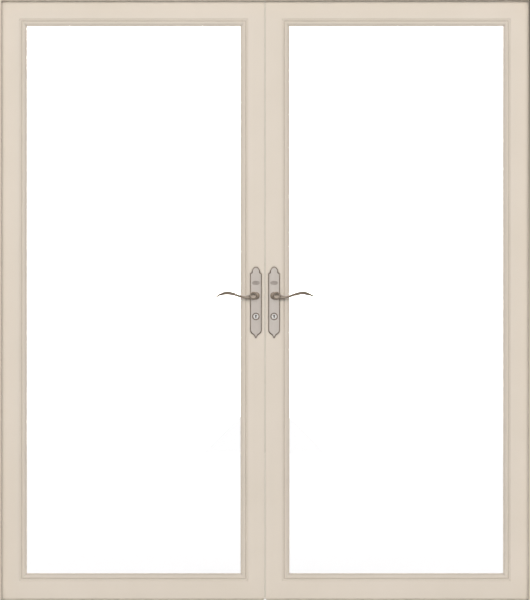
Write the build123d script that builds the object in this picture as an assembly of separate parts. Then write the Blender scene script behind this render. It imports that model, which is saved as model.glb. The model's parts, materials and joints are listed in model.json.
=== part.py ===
from build123d import *
import math
import os

# A pair of glazed french doors in one frame, seen from outside.
# X runs across the doors, Y from outside to inside and Z up.
# The origin is under the middle of the sill, halfway through the frame's depth.
# Each leaf is drawn as the left one, and the right one is its mirror image.

# Frame
unit_width = 1810.0
unit_height = 2019.0
frame_depth = 78.0
frame_face = 44.0
rebate_depth = 12.0
seal_space = 4.0
frame_edge_radius = 2.0
sill_nose_height = 8.0
sill_top = 15.5
sill_floor = 2.0

# Gaps round the leaves
edge_gap = 3.0
meeting_gap = 3.5
leaf_bottom = 20.0

# Leaf bars
leaf_thickness = 45.0
hinge_stile_width = 91.6
lock_stile_width = 78.4
top_rail_width = 91.6
bottom_rail_width = 84.0
edge_wall = 4.5
face_wall = 3.0
outer_edge_radius = 1.5

# Moulding round the glass
moulding_width = 24.5
groove_width = 10.0
groove_depth = 4.4
groove_low_share = 0.68
round_over = 1.2
crest_width = 2.0
crest_drop = 0.5
crest_edge_drop = 0.9
lip_drop = 8.0
lip_width = 2.6
lip_depth = 10.5
lip_radius = 0.7

# Glazing
glass_bite = 12.0
glass_edge_space = 4.0
pane_thickness = 4.0
pane_space = 14.0
spacer_width = 8.0
gasket_thickness = 2.0
gasket_width = 9.0
setting_block_length = 90.0
bead_clearance = 0.2
bead_tongue = 1.4
bead_tongue_height = 2.0
bead_slope_width = 9.0
bead_set_back = 1.5

# Corner keys
key_leg_length = 75.0
key_leg_width = 42.0
key_clearance = 0.3

# Seals
seal_fit = 0.05
seal_barb_width = 2.0
seal_barb_depth = 5.0
seal_clearance = 0.4
fin_reach = 1.45
fin_thickness = 4.0
fin_barb_depth = 2.0
fin_barb_width = 1.6
sweep_clearance = 0.6
sweep_fin_thickness = 2.0
sweep_fin_pitch = 9.0
sweep_fins = 4

# Hinges
hinge_height = 100.0
hinge_knuckles = 5
hinge_count = 3
hinge_end_space = 180.0
barrel_radius = 6.5
hinge_pin_radius = 3.5
hinge_tip_height = 5.0
wing_thickness = 2.5
wing_width = 36.0
barrel_stand_off = 0.8
knuckle_gap = 0.3
pin_clearance = 0.05
hinge_screws = 3
hinge_screw_pitch = 34.0

# Screws
screw_radius = 2.2
screw_head_radius = 4.4
screw_head_depth = 2.0
screw_length = 14.0
screw_clearance = 0.1
frame_screw_length = 55.0
anchor_hole_radius = 3.5
anchor_spacing = 1150.0

# Lock
lever_height = 991.5
backset = 28.0
cylinder_drop = 67.7
faceplate_width = 22.0
faceplate_thickness = 2.5
faceplate_above = 95.0
faceplate_below = 150.0
case_thickness = 16.0
case_depth = 44.0
case_above = 75.0
case_below = 130.0
case_wall = 1.5
case_clearance = 0.3
hub_radius = 8.0
hub_arm_reach = 14.0
hub_arm_width = 6.0
turning_clearance = 0.05
spindle_side = 8.0
latch_height = 20.0
latch_rise = 32.0
latch_thickness = 10.0
latch_length = 30.0
deadbolt_height = 26.0
deadbolt_drop = 35.0
deadbolt_thickness = 10.0
deadbolt_length = 38.0
bolt_set_back = 0.3
bolt_guide_clearance = 0.3
strike_clearance = 1.2

# Shoot bolts of the passive leaf
rod_radius = 4.0
bolt_nose_radius = 5.0
bolt_nose_length = 95.0
rod_inset = 36.5
rod_engagement = 26.0
keeper_hole = 14.0
keeper_plate_width = 24.0
keeper_plate_length = 44.0
keeper_plate_thickness = 2.0
head_pocket_depth = 22.0

# Handle plates
plate_width = 36.9
plate_above = 94.5
plate_below = 138.0
plate_thickness = 6.0
plate_edge_width = 2.2
plate_edge_height = 3.4
arch_width = 25.0
arch_height = 21.0
tail_height = 24.5
tail_tip_width = 5.0
oval_length = 25.0
oval_height = 13.0
oval_rise = 41.9
oval_depth = 0.8
plate_bolt_above = 66.0
plate_bolt_below = 106.0
plate_bolt_radius = 2.5
plate_bolt_head = 4.2
plate_bolt_head_depth = 1.6
plate_bolt_grip = 3.0

# Lever
collar_radius = 11.5
collar_neck_radius = 8.5
collar_length = 22.0
boss_radius = 13.0
boss_reach = 33.0
boss_shift = 6.0
lever_gap = 0.3
inner_spindle_bite = 12.0

# Key cylinder
rim_radius = 12.0
rim_height = 3.0
cylinder_radius = 8.9
plug_radius = 6.3
plug_length = 28.0
keyway_width = 2.6
keyway_height = 9.0
keyway_eye = 2.7
turn_shaft_radius = 4.0
turn_length = 30.0
turn_height = 14.0
turn_thickness = 6.0
turn_rose_radius = 9.0
turn_rose_height = 2.0

# Worked out from the sizes above
frame_out = -frame_depth / 2
leaf_in = frame_depth / 2
leaf_out = leaf_in - leaf_thickness
stop_face = leaf_out - seal_space
rebate_x = -unit_width / 2 + frame_face - rebate_depth
head_rebate = unit_height - frame_face + rebate_depth
leaf_left = rebate_x + edge_gap
leaf_right = -meeting_gap / 2
leaf_width = leaf_right - leaf_left
leaf_top = head_rebate - edge_gap
leaf_height = leaf_top - leaf_bottom
lever_z = leaf_bottom + lever_height
cylinder_z = lever_z - cylinder_drop
spindle_x = leaf_right - backset
mid_y = leaf_out + leaf_thickness / 2
hinge_x = rebate_x + (edge_gap - wing_thickness) / 2
hinge_y = leaf_in + barrel_stand_off + barrel_radius
opening_left = hinge_stile_width
opening_right = leaf_width - lock_stile_width
opening_low = bottom_rail_width
opening_high = leaf_height - top_rail_width
outer_pane_y = leaf_out + lip_depth + gasket_thickness
inner_pane_y = outer_pane_y + pane_thickness + pane_space
bead_y = inner_pane_y + pane_thickness + gasket_thickness


def save(shapes, name):
    """Writes one named node: a single piece, or a group of separate like pieces."""
    solids = [solid for shape in shapes for solid in shape.solids()]
    export_step(Compound(children=solids), f"parts/{name}.step")


def mirrored(shapes):
    """Turns pieces of the left leaf into those of the right one."""
    return [mirror(shape, about=Plane.YZ) for shape in shapes]


def block(x0, x1, y0, y1, z0, z1):
    """A box between two corners."""
    size = (abs(x1 - x0), abs(y1 - y0), abs(z1 - z0))
    return Pos((x0 + x1) / 2, (y0 + y1) / 2, (z0 + z1) / 2) * Box(*size)


def rod_x(x0, x1, y, z, radius):
    """A round bar along X."""
    return Pos((x0 + x1) / 2, y, z) * Rot(0, 90, 0) * Cylinder(radius, abs(x1 - x0))


def rod_y(y0, y1, x, z, radius):
    """A round bar along Y."""
    return Pos(x, (y0 + y1) / 2, z) * Rot(90, 0, 0) * Cylinder(radius, abs(y1 - y0))


def rod_z(z0, z1, x, y, radius):
    """A round bar along Z."""
    return Pos(x, y, (z0 + z1) / 2) * Cylinder(radius, abs(z1 - z0))


def flat_shape(points):
    """A face in the XY plane from its corners."""
    return make_face(Polyline(*points, close=True))


def front_prism(points, y0, y1):
    """An outline given in X and Z, pushed through from y0 to y1."""
    face = Plane.XZ * flat_shape(points)
    return Pos(0, y1, 0) * extrude(face, y1 - y0)


def countersunk(length, clearance=0.0):
    """A countersunk screw that points down Z with its head's top at the origin."""
    head = Pos(0, 0, -screw_head_depth / 2) * Cone(
        screw_radius + clearance, screw_head_radius + clearance, screw_head_depth
    )
    shank = Pos(0, 0, -length / 2) * Cylinder(screw_radius + clearance, length)
    return head + shank


def bar_profile(width):
    """Section of a leaf bar: X from its outer edge to the glass, Y from outside in."""
    flat = width - moulding_width
    groove_low = flat + groove_width * groove_low_share
    crest_start = flat + groove_width
    crest_end = crest_start + crest_width
    lip_start = width - lip_width
    floor = width - glass_bite - glass_edge_space
    soft = outer_edge_radius
    bend = soft * (1 - math.sqrt(0.5))
    roll = round_over * (1 - math.sqrt(0.5))
    lip_bend = lip_radius * (1 - math.sqrt(0.5))
    ovolo_drop = crest_edge_drop + (lip_drop - crest_edge_drop) * 0.33
    thick = leaf_thickness
    edges = [
        ThreePointArc((0, soft), (bend, bend), (soft, 0)),
        Line((soft, 0), (flat - round_over, 0)),
        ThreePointArc((flat - round_over, 0), (flat - roll, roll), (flat, round_over)),
        Line((flat, round_over), (groove_low, groove_depth)),
        Line((groove_low, groove_depth), (crest_start, crest_edge_drop)),
        ThreePointArc(
            (crest_start, crest_edge_drop),
            ((crest_start + crest_end) / 2, crest_drop),
            (crest_end, crest_edge_drop),
        ),
        ThreePointArc(
            (crest_end, crest_edge_drop),
            ((crest_end + lip_start) / 2, ovolo_drop),
            (lip_start, lip_drop),
        ),
        Line((lip_start, lip_drop), (width - lip_radius, lip_drop)),
        ThreePointArc(
            (width - lip_radius, lip_drop),
            (width - lip_bend, lip_drop + lip_bend),
            (width, lip_drop + lip_radius),
        ),
        Line((width, lip_drop + lip_radius), (width, lip_depth)),
        Line((width, lip_depth), (floor, lip_depth)),
        Line((floor, lip_depth), (floor, thick)),
        Line((floor, thick), (soft, thick)),
        ThreePointArc((soft, thick), (bend, thick - bend), (0, thick - soft)),
        Line((0, thick - soft), (0, soft)),
    ]
    outline = make_face(edges)
    cavity = flat_shape(
        [
            (edge_wall, face_wall),
            (flat - face_wall, face_wall),
            (flat - face_wall, groove_depth + face_wall),
            (floor - face_wall, groove_depth + face_wall),
            (floor - face_wall, thick - face_wall),
            (edge_wall, thick - face_wall),
        ]
    )
    tongue_y = bead_y - leaf_out + 1.5
    slot = flat_shape(
        [
            (floor - bead_tongue - bead_clearance, tongue_y - bead_clearance),
            (floor, tongue_y - bead_clearance),
            (floor, tongue_y + bead_tongue_height + bead_clearance),
            (floor - bead_tongue - bead_clearance, tongue_y + bead_tongue_height + bead_clearance),
        ]
    )
    return outline - cavity - slot


def mitre_line(side_width, end_width):
    """Corner line from the glass out: 45 degrees across the moulding, then to the corner."""
    return [
        (side_width, end_width),
        (side_width - moulding_width, end_width - moulding_width),
        (0.0, 0.0),
    ]


def leaf_corner(kind):
    """The mitre line of one corner, in X and Z of the leaf, from the glass outwards."""
    low = kind.endswith("low")
    left = kind.startswith("hinge")
    side = hinge_stile_width if left else lock_stile_width
    end = bottom_rail_width if low else top_rail_width
    points = []
    for across, up in mitre_line(side, end):
        x = leaf_left + across if left else leaf_right - across
        z = leaf_bottom + up if low else leaf_top - up
        points.append((x, z))
    return points


def leaf_bar(width, length, turn):
    """A hollow bar laid along one side of the leaf's rectangle, before its mitres."""
    bar = extrude(bar_profile(width), length)
    bar = Pos(0, leaf_out, 0) * bar
    if turn == "hinge":
        return Pos(leaf_left, 0, leaf_bottom) * bar
    if turn == "top":
        return Pos(leaf_left, 0, leaf_top) * Rot(0, 90, 0) * bar
    if turn == "lock":
        return Pos(leaf_right, 0, leaf_top) * Rot(0, 180, 0) * bar
    return Pos(leaf_right, 0, leaf_bottom) * Rot(0, 270, 0) * bar


def leaf_bars():
    """The four mitred bars of a leaf."""
    low_left = leaf_corner("hinge low")
    low_right = leaf_corner("lock low")
    high_left = leaf_corner("hinge high")
    high_right = leaf_corner("lock high")
    y0 = leaf_out - 1
    y1 = leaf_in + 1
    cuts = {
        "hinge": low_left[::-1] + high_left,
        "lock": low_right[::-1] + high_right,
        "top": high_left[::-1] + high_right,
        "bottom": low_left[::-1] + low_right,
    }
    sizes = {
        "hinge": (hinge_stile_width, leaf_height),
        "lock": (lock_stile_width, leaf_height),
        "top": (top_rail_width, leaf_width),
        "bottom": (bottom_rail_width, leaf_width),
    }
    return {
        side: leaf_bar(*sizes[side], side) & front_prism(cuts[side], y0, y1)
        for side in cuts
    }


def corner_key(kind):
    """An L shaped cleat that fills the hollow ends of two bars at a mitre."""
    corner_x, corner_z = leaf_corner(kind)[-1]
    right = 1 if kind.startswith("hinge") else -1
    up = 1 if kind.endswith("low") else -1
    start = edge_wall + key_clearance
    y0 = leaf_out + face_wall + key_clearance
    y1 = leaf_in - face_wall - key_clearance
    wide = start + key_leg_width
    long = start + key_leg_length
    points = [(start, start), (long, start), (long, wide), (wide, wide), (wide, long), (start, long)]
    placed = [(corner_x + right * x, corner_z + up * z) for x, z in points]
    return front_prism(placed, y0, y1)


def glass_unit():
    """The two panes and the spacer between them."""
    x0 = leaf_left + opening_left - glass_bite
    x1 = leaf_left + opening_right + glass_bite
    z0 = leaf_bottom + opening_low - glass_bite
    z1 = leaf_bottom + opening_high + glass_bite
    panes = [
        block(x0, x1, y, y + pane_thickness, z0, z1) for y in (outer_pane_y, inner_pane_y)
    ]
    y0 = outer_pane_y + pane_thickness
    ring = block(x0, x1, y0, inner_pane_y, z0, z1)
    hole = block(
        x0 + spacer_width,
        x1 - spacer_width,
        y0,
        inner_pane_y,
        z0 + spacer_width,
        z1 - spacer_width,
    )
    return panes, ring - hole


def glazing_rubbers():
    """A gasket each side of the glass, and the blocks that the glass stands on."""
    x0 = leaf_left + opening_left
    x1 = leaf_left + opening_right
    z0 = leaf_bottom + opening_low
    z1 = leaf_bottom + opening_high
    rings = []
    for y in (leaf_out + lip_depth, bead_y - gasket_thickness):
        inset = glass_bite - gasket_width
        whole = block(
            x0 - glass_bite, x1 + glass_bite, y, y + gasket_thickness, z0 - glass_bite, z1 + glass_bite
        )
        hole = block(x0 - inset, x1 + inset, y, y + gasket_thickness, z0 - inset, z1 + inset)
        rings.append(whole - hole)
    blocks = []
    quarter = (x1 - x0) / 4
    for x in (x0 + quarter, x1 - quarter):
        blocks.append(
            block(
                x - setting_block_length / 2,
                x + setting_block_length / 2,
                outer_pane_y,
                inner_pane_y + pane_thickness,
                z0 - glass_bite - glass_edge_space,
                z0 - glass_bite,
            )
        )
    return rings + blocks


def bead_profile():
    """Section of an inner glazing bead: X from its seat towards the glass."""
    reach = glass_bite + glass_edge_space - bead_set_back
    tall = leaf_in - bead_y
    start = reach - bead_slope_width - lip_width
    tongue = 1.5
    edges = [
        Line((0, 0), (reach, 0)),
        Line((reach, 0), (reach, 1.2)),
        Line((reach, 1.2), (reach - lip_width, 1.8)),
        ThreePointArc(
            (reach - lip_width, 1.8),
            ((reach - lip_width + start) / 2 + 0.6, tall * 0.42),
            (start, tall - 0.8),
        ),
        ThreePointArc((start, tall - 0.8), (start - 0.7, tall - 0.2), (start - 1.5, tall)),
        Line((start - 1.5, tall), (0, tall)),
        Line((0, tall), (0, tongue + bead_tongue_height)),
        Line((0, tongue + bead_tongue_height), (-bead_tongue, tongue + bead_tongue_height)),
        Line((-bead_tongue, tongue + bead_tongue_height), (-bead_tongue, tongue)),
        Line((-bead_tongue, tongue), (0, tongue)),
        Line((0, tongue), (0, 0)),
    ]
    return make_face(edges)


def glazing_beads():
    """Four mitred beads that clip into the bars from inside."""
    seat = glass_bite + glass_edge_space
    x0 = leaf_left + opening_left - seat
    x1 = leaf_left + opening_right + seat
    z0 = leaf_bottom + opening_low - seat
    z1 = leaf_bottom + opening_high + seat
    wide = x1 - x0
    tall = z1 - z0
    out = bead_tongue
    plain = Pos(0, bead_y, 0) * extrude(bead_profile(), tall + 2 * out)
    flat = Pos(0, bead_y, 0) * extrude(bead_profile(), wide + 2 * out)
    laid = [
        Pos(x0, 0, z0 - out) * plain,
        Pos(x0 - out, 0, z1) * Rot(0, 90, 0) * flat,
        Pos(x1, 0, z1 + out) * Rot(0, 180, 0) * plain,
        Pos(x1 + out, 0, z0) * Rot(0, 270, 0) * flat,
    ]
    far = seat + 1
    low_left = [(x0 - out, z0 - out), (x0 + far, z0 + far)]
    high_left = [(x0 - out, z1 + out), (x0 + far, z1 - far)]
    low_right = [(x1 + out, z0 - out), (x1 - far, z0 + far)]
    high_right = [(x1 + out, z1 + out), (x1 - far, z1 - far)]
    cuts = [
        low_left + high_left[::-1],
        high_left + high_right[::-1],
        low_right + high_right[::-1],
        low_left + low_right[::-1],
    ]
    y0 = bead_y - 1
    y1 = leaf_in + 1
    return [bead & front_prism(cut, y0, y1) for bead, cut in zip(laid, cuts)]


def board_profile():
    """Section of a frame board: X from its back to its face, Y from outside in."""
    back = frame_face - rebate_depth
    kerf_x = back - seal_barb_depth
    kerf_y = stop_face + seal_barb_width + screw_clearance
    board = flat_shape([(0, frame_out), (back, frame_out), (back, leaf_in), (0, leaf_in)])
    kerf = flat_shape([(kerf_x, stop_face), (back, stop_face), (back, kerf_y), (kerf_x, kerf_y)])
    return board - kerf


def stop_profile():
    """Section of the stop planted on a frame board, with its front edge softened."""
    soft = frame_edge_radius
    bend = soft * (1 - math.sqrt(0.5))
    back = frame_face - rebate_depth
    edges = [
        Line((back, frame_out), (frame_face - soft, frame_out)),
        ThreePointArc(
            (frame_face - soft, frame_out),
            (frame_face - bend, frame_out + bend),
            (frame_face, frame_out + soft),
        ),
        Line((frame_face, frame_out + soft), (frame_face, stop_face)),
        Line((frame_face, stop_face), (back, stop_face)),
        Line((back, stop_face), (back, frame_out)),
    ]
    return make_face(edges)


def frame_members(profile):
    """A left upright and a head of one section, mitred where they meet."""
    half = unit_width / 2
    post = extrude(profile, unit_height)
    beam = extrude(profile, unit_width)
    far = frame_face + 1
    left = front_prism(
        [(-half, 0), (-half + far, 0), (-half + far, unit_height - far), (-half, unit_height)],
        frame_out - 1,
        leaf_in + 1,
    )
    top = front_prism(
        [
            (-half, unit_height),
            (-half + far, unit_height - far),
            (half - far, unit_height - far),
            (half, unit_height),
        ],
        frame_out - 1,
        leaf_in + 1,
    )
    upright = (Pos(-half, 0, 0) * post) & left
    across = (Pos(-half, 0, unit_height) * Rot(0, 90, 0) * beam) & top
    return upright, across


def sill():
    """Extruded threshold that slopes outwards, notched round the jambs' stops."""
    back = stop_face + seal_space
    edges = [
        Line((frame_out, 0), (frame_out, sill_nose_height - 2)),
        ThreePointArc(
            (frame_out, sill_nose_height - 2),
            (frame_out + 0.6, sill_nose_height - 0.6),
            (frame_out + 2, sill_nose_height),
        ),
        Line((frame_out + 2, sill_nose_height), (back - 8, sill_top - 1.5)),
        Line((back - 8, sill_top - 1.5), (back - 4, sill_top)),
        Line((back - 4, sill_top), (leaf_in - 3, sill_top)),
        ThreePointArc(
            (leaf_in - 3, sill_top), (leaf_in - 0.9, sill_top - 0.9), (leaf_in, sill_top - 3)
        ),
        Line((leaf_in, sill_top - 3), (leaf_in, 0)),
        Line((leaf_in, 0), (frame_out, 0)),
    ]
    section = Plane.YZ * make_face(edges)
    long = Pos(rebate_x, 0, 0) * extrude(section, -2 * rebate_x)
    stop_x = -unit_width / 2 + frame_face
    notch = block(rebate_x, stop_x, frame_out, stop_face, 0, sill_top)
    threshold = long - notch - mirror(notch, about=Plane.YZ)
    return threshold - sill_pocket()


def bolt_x():
    """Where the shoot bolts run, measured across the doors."""
    return leaf_right - rod_inset


def head_pocket():
    """The mortise in the head for the top shoot bolt and its keeper plate."""
    half = keeper_hole / 2
    hole = block(
        bolt_x() - half,
        bolt_x() + half,
        mid_y - half,
        mid_y + half,
        head_rebate,
        head_rebate + head_pocket_depth,
    )
    return hole + keeper(head_rebate, 1, solid=True)


def sill_pocket():
    """The mortise in the sill for the bottom shoot bolt and its keeper plate."""
    half = keeper_hole / 2
    hole = block(
        bolt_x() - half, bolt_x() + half, mid_y - half, mid_y + half, sill_floor, sill_top
    )
    return hole + keeper(sill_top, -1, solid=True)


def keeper(face_z, inward, solid=False):
    """A keeper plate let in flush, or the recess that takes it."""
    half_x = keeper_plate_length / 2
    half_y = keeper_plate_width / 2
    plate = block(
        bolt_x() - half_x,
        bolt_x() + half_x,
        mid_y - half_y,
        mid_y + half_y,
        face_z,
        face_z + inward * keeper_plate_thickness,
    )
    if solid:
        return plate
    half = keeper_hole / 2
    hole = block(
        bolt_x() - half,
        bolt_x() + half,
        mid_y - half,
        mid_y + half,
        face_z - inward,
        face_z + inward * (keeper_plate_thickness + 1),
    )
    return plate - hole


def hinge_bases():
    """Height of each hinge's lower end."""
    low = leaf_bottom + hinge_end_space
    high = leaf_top - hinge_end_space - hinge_height
    step = (high - low) / (hinge_count - 1)
    return [low + step * i for i in range(hinge_count)]


def wing_y():
    """The inner and outer edge of a hinge wing's flat part."""
    return hinge_y - barrel_radius - 0.5 - wing_width, hinge_y - barrel_radius - 0.5


def wing_x(on_leaf):
    """The two faces of a wing, across the doors."""
    if on_leaf:
        return leaf_left - wing_thickness, leaf_left
    return rebate_x - wing_thickness, rebate_x


def screw_spots(base):
    """Where the screws of one wing go, in Y and Z, in two staggered rows."""
    low, high = wing_y()
    rows = (low + wing_width * 0.3, low + wing_width * 0.62)
    start = base + hinge_height / 2 - hinge_screw_pitch * (hinge_screws - 1) / 2
    return [(rows[i % 2], start + hinge_screw_pitch * i) for i in range(hinge_screws)]


def wing_screw(y, z, on_leaf, clearance=0.0):
    """One hinge screw, or its hole."""
    screw = countersunk(screw_length, clearance)
    if on_leaf:
        return Pos(wing_x(True)[0], y, z) * Rot(0, -90, 0) * screw
    return Pos(wing_x(False)[1], y, z) * Rot(0, 90, 0) * screw


def hinge_wing(base, on_leaf):
    """A wing with its own knuckles, alternate with those of the other wing."""
    x0, x1 = wing_x(on_leaf)
    y0, y1 = wing_y()
    wing = block(x0, x1, y0, y1, base, base + hinge_height)
    pitch = hinge_height / hinge_knuckles
    first = 1 if on_leaf else 0
    for i in range(first, hinge_knuckles, 2):
        z0 = base + pitch * i + knuckle_gap / 2
        z1 = base + pitch * (i + 1) - knuckle_gap / 2
        wing += block(x0, x1, y1, hinge_y, z0, z1)
        wing += rod_z(z0, z1, hinge_x, hinge_y, barrel_radius)
    bore = hinge_pin_radius + pin_clearance
    wing -= rod_z(base - 1, base + hinge_height + 1, hinge_x, hinge_y, bore)
    for y, z in screw_spots(base):
        wing -= wing_screw(y, z, on_leaf, screw_clearance)
    return wing


def hinge_pin(base):
    """A loose pin with a button head above and below the knuckles."""
    top = base + hinge_height
    low = knuckle_gap / 2
    pin = rod_z(base, top, hinge_x, hinge_y, hinge_pin_radius)
    button = Cylinder(barrel_radius, hinge_tip_height)
    button = fillet(button.edges().filter_by(GeomType.CIRCLE).sort_by(Axis.Z)[-1], 2.5)
    pin += Pos(hinge_x, hinge_y, top + hinge_tip_height / 2 - low) * button
    pin += Pos(hinge_x, hinge_y, base - hinge_tip_height / 2 + low) * Rot(180, 0, 0) * button
    return pin


def frame_mortises():
    """What is cut from the left jamb: hinge recesses, screw holes and anchor holes."""
    cut = None
    y0, y1 = wing_y()
    x0, x1 = wing_x(False)
    for base in hinge_bases():
        recess = block(x0, x1, y0, y1, base, base + hinge_height)
        cut = recess if cut is None else cut + recess
        for y, z in screw_spots(base):
            cut += wing_screw(y, z, False, screw_clearance)
    for z in anchor_heights():
        cut += rod_x(-unit_width / 2 - 1, rebate_x + 1, mid_y, z, anchor_hole_radius)
    for spot in frame_screw_spots():
        cut += frame_screw(*spot, clearance=screw_clearance)
    return cut


def anchor_heights():
    """The two anchor holes of a jamb, level with the middle of the unit."""
    middle = unit_height / 2
    return [middle - anchor_spacing / 2, middle + anchor_spacing / 2]


def frame_screw_spots():
    """The screws through the left jamb into the sill and the head, in Y and Z."""
    spots = [(frame_out + 22, sill_nose_height * 0.8), (leaf_in - 18, sill_top / 2)]
    head_z = unit_height - (frame_face - rebate_depth) / 2
    spots += [(frame_out + 30, head_z), (leaf_in - 20, head_z)]
    return spots


def frame_screw(y, z, clearance=0.0):
    """A long countersunk screw let in from the jamb's back."""
    screw = countersunk(frame_screw_length, clearance)
    return Pos(-unit_width / 2, y, z) * Rot(0, -90, 0) * screw


def frame_seals():
    """Bulb seals pressed into the kerfs of the two stops and the head."""
    low_y = seal_fit
    high_y = seal_barb_width + seal_fit
    barb = block(-seal_barb_depth, 0, low_y, high_y, 0, unit_height)
    bulb_radius = (seal_space - seal_clearance) / 2
    bulb = rod_z(0, unit_height, bulb_radius, bulb_radius + seal_fit, bulb_radius)
    neck = block(0, bulb_radius, low_y, high_y, 0, unit_height)
    strip = Pos(0, stop_face, 0) * (barb + bulb + neck)
    side = Pos(rebate_x, 0, 0) * strip
    low = sill_top + sweep_clearance
    high = head_rebate - 2 * bulb_radius - 1
    side &= block(rebate_x - 20, rebate_x + 20, stop_face, leaf_out, low, high)
    across = Pos(-unit_width / 2, 0, head_rebate) * Rot(0, 90, 0) * strip
    inside = -rebate_x - 1
    across &= block(
        -inside, inside, stop_face, leaf_out, head_rebate - 20, head_rebate + 20
    )
    return [side, mirror(side, about=Plane.YZ), across]


def fin_seal():
    """The seal of the meeting edge, flush with the leaf's outer face."""
    x0 = leaf_right
    fin = block(x0, x0 + fin_reach, leaf_out, leaf_out + fin_thickness, leaf_bottom, leaf_top)
    middle = leaf_out + fin_thickness / 2 + 1.0
    barb = block(
        x0 - fin_barb_depth,
        x0,
        middle - fin_barb_width / 2,
        middle + fin_barb_width / 2,
        leaf_bottom,
        leaf_top,
    )
    return fin + barb


def sweep():
    """The finned seal under the bottom rail."""
    x0 = leaf_left + 4
    x1 = leaf_right - 2
    middle = mid_y
    span = sweep_fin_pitch * (sweep_fins - 1)
    base_top = leaf_bottom
    base = block(x0, x1, middle - span / 2 - 2, middle + span / 2 + 2, base_top - 1.2, base_top)
    for i in range(sweep_fins):
        y = middle - span / 2 + sweep_fin_pitch * i
        half = sweep_fin_thickness / 2
        base += block(x0, x1, y - half, y + half, sill_top + sweep_clearance, base_top - 1)
    return base


def lock_face_cut(clearance):
    """Recess for the faceplate and the slot for the case, in the lock stile's edge."""
    half = faceplate_width / 2
    recess = block(
        leaf_right - faceplate_thickness,
        leaf_right + 1,
        mid_y - half,
        mid_y + half,
        lever_z - faceplate_below,
        lever_z + faceplate_above,
    )
    half = case_thickness / 2 + clearance
    slot = block(
        leaf_right - edge_wall - 1,
        leaf_right,
        mid_y - half,
        mid_y + half,
        lever_z - case_below - clearance,
        lever_z + case_above + clearance,
    )
    return recess + slot


def latch(clearance=0.0):
    """The latch, drawn back flush with the faceplate, or the hole for it."""
    half_y = latch_thickness / 2 + clearance
    half_z = latch_height / 2 + clearance
    z = lever_z + latch_rise
    nose = leaf_right - bolt_set_back
    if clearance:
        return block(
            leaf_right - 10, leaf_right + 1, mid_y - half_y, mid_y + half_y, z - half_z, z + half_z
        )
    body = block(nose - latch_length, nose, mid_y - half_y, mid_y + half_y, z - half_z, z + half_z)
    wedge = Plane.XY * flat_shape(
        [
            (nose - latch_thickness * 0.9, mid_y - half_y),
            (nose + 1, mid_y - half_y),
            (nose + 1, mid_y + half_y * 0.5),
            (nose, mid_y + half_y * 0.5),
        ]
    )
    return body - Pos(0, 0, z - half_z - 1) * extrude(wedge, latch_height + 2)


def deadbolt(clearance=0.0):
    """The deadbolt, drawn back flush with the faceplate, or the hole for it."""
    half_y = deadbolt_thickness / 2 + clearance
    half_z = deadbolt_height / 2 + clearance
    z = lever_z - deadbolt_drop
    nose = leaf_right - bolt_set_back
    if clearance:
        return block(
            leaf_right - 10, leaf_right + 1, mid_y - half_y, mid_y + half_y, z - half_z, z + half_z
        )
    return block(
        nose - deadbolt_length, nose, mid_y - half_y, mid_y + half_y, z - half_z, z + half_z
    )


def faceplate_screws(clearance=0.0):
    """The two screws that hold a faceplate."""
    screw = countersunk(screw_length, clearance)
    heights = (lever_z + faceplate_above - 9, lever_z - faceplate_below + 9)
    return [Pos(leaf_right, mid_y, z) * Rot(0, 90, 0) * screw for z in heights]


def faceplate(bolt_clearance):
    """The plate on the meeting edge, with openings for the latch and the deadbolt."""
    half = faceplate_width / 2
    plate = block(
        leaf_right - faceplate_thickness,
        leaf_right,
        mid_y - half,
        mid_y + half,
        lever_z - faceplate_below,
        lever_z + faceplate_above,
    )
    plate -= latch(bolt_clearance)
    plate -= deadbolt(bolt_clearance)
    for screw in faceplate_screws(screw_clearance):
        plate -= screw
    return plate


def rods():
    """Top and bottom shoot bolts, drawn back flush with the leaf's ends."""
    x = bolt_x()
    top_end = leaf_top - bolt_set_back
    top_start = lever_z + case_above - rod_engagement
    top = rod_z(top_start, top_end, x, mid_y, rod_radius)
    top += rod_z(top_end - bolt_nose_length, top_end, x, mid_y, bolt_nose_radius)
    low_end = leaf_bottom + bolt_set_back
    low_start = lever_z - case_below + rod_engagement
    low = rod_z(low_end, low_start, x, mid_y, rod_radius)
    low += rod_z(low_end, low_end + bolt_nose_length, x, mid_y, bolt_nose_radius)
    return top, low


def rod_holes(clearance):
    """Round holes through the ends of the passive leaf for the bolt noses."""
    x = bolt_x()
    reach = key_leg_length + edge_wall + key_clearance + 2
    radius = bolt_nose_radius + clearance
    high = rod_z(leaf_top - reach, leaf_top + 1, x, mid_y, radius)
    low = rod_z(leaf_bottom - 5, leaf_bottom + reach, x, mid_y, radius)
    return high, low


def lock_case(passive):
    """A pressed steel case behind the faceplate, open towards it."""
    x1 = leaf_right - faceplate_thickness
    x0 = x1 - case_depth
    half = case_thickness / 2
    z0 = lever_z - case_below
    z1 = lever_z + case_above
    case = block(x0, x1, mid_y - half, mid_y + half, z0, z1)
    wall = case_wall
    case -= block(
        x0 + wall, x1, mid_y - half + wall, mid_y + half - wall, z0 + wall, z1 - wall
    )
    case -= rod_y(leaf_out, leaf_in, spindle_x, lever_z, hub_radius + turning_clearance)
    case -= rod_y(leaf_out, leaf_in, spindle_x, cylinder_z, cylinder_radius + screw_clearance)
    for z in plate_bolt_heights():
        case -= rod_y(leaf_out, leaf_in, spindle_x, z, plate_bolt_radius + 0.5)
    if passive:
        radius = rod_radius + turning_clearance
        case -= rod_z(z0 - 1, z1 + 1, bolt_x(), mid_y, radius)
    return case


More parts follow.
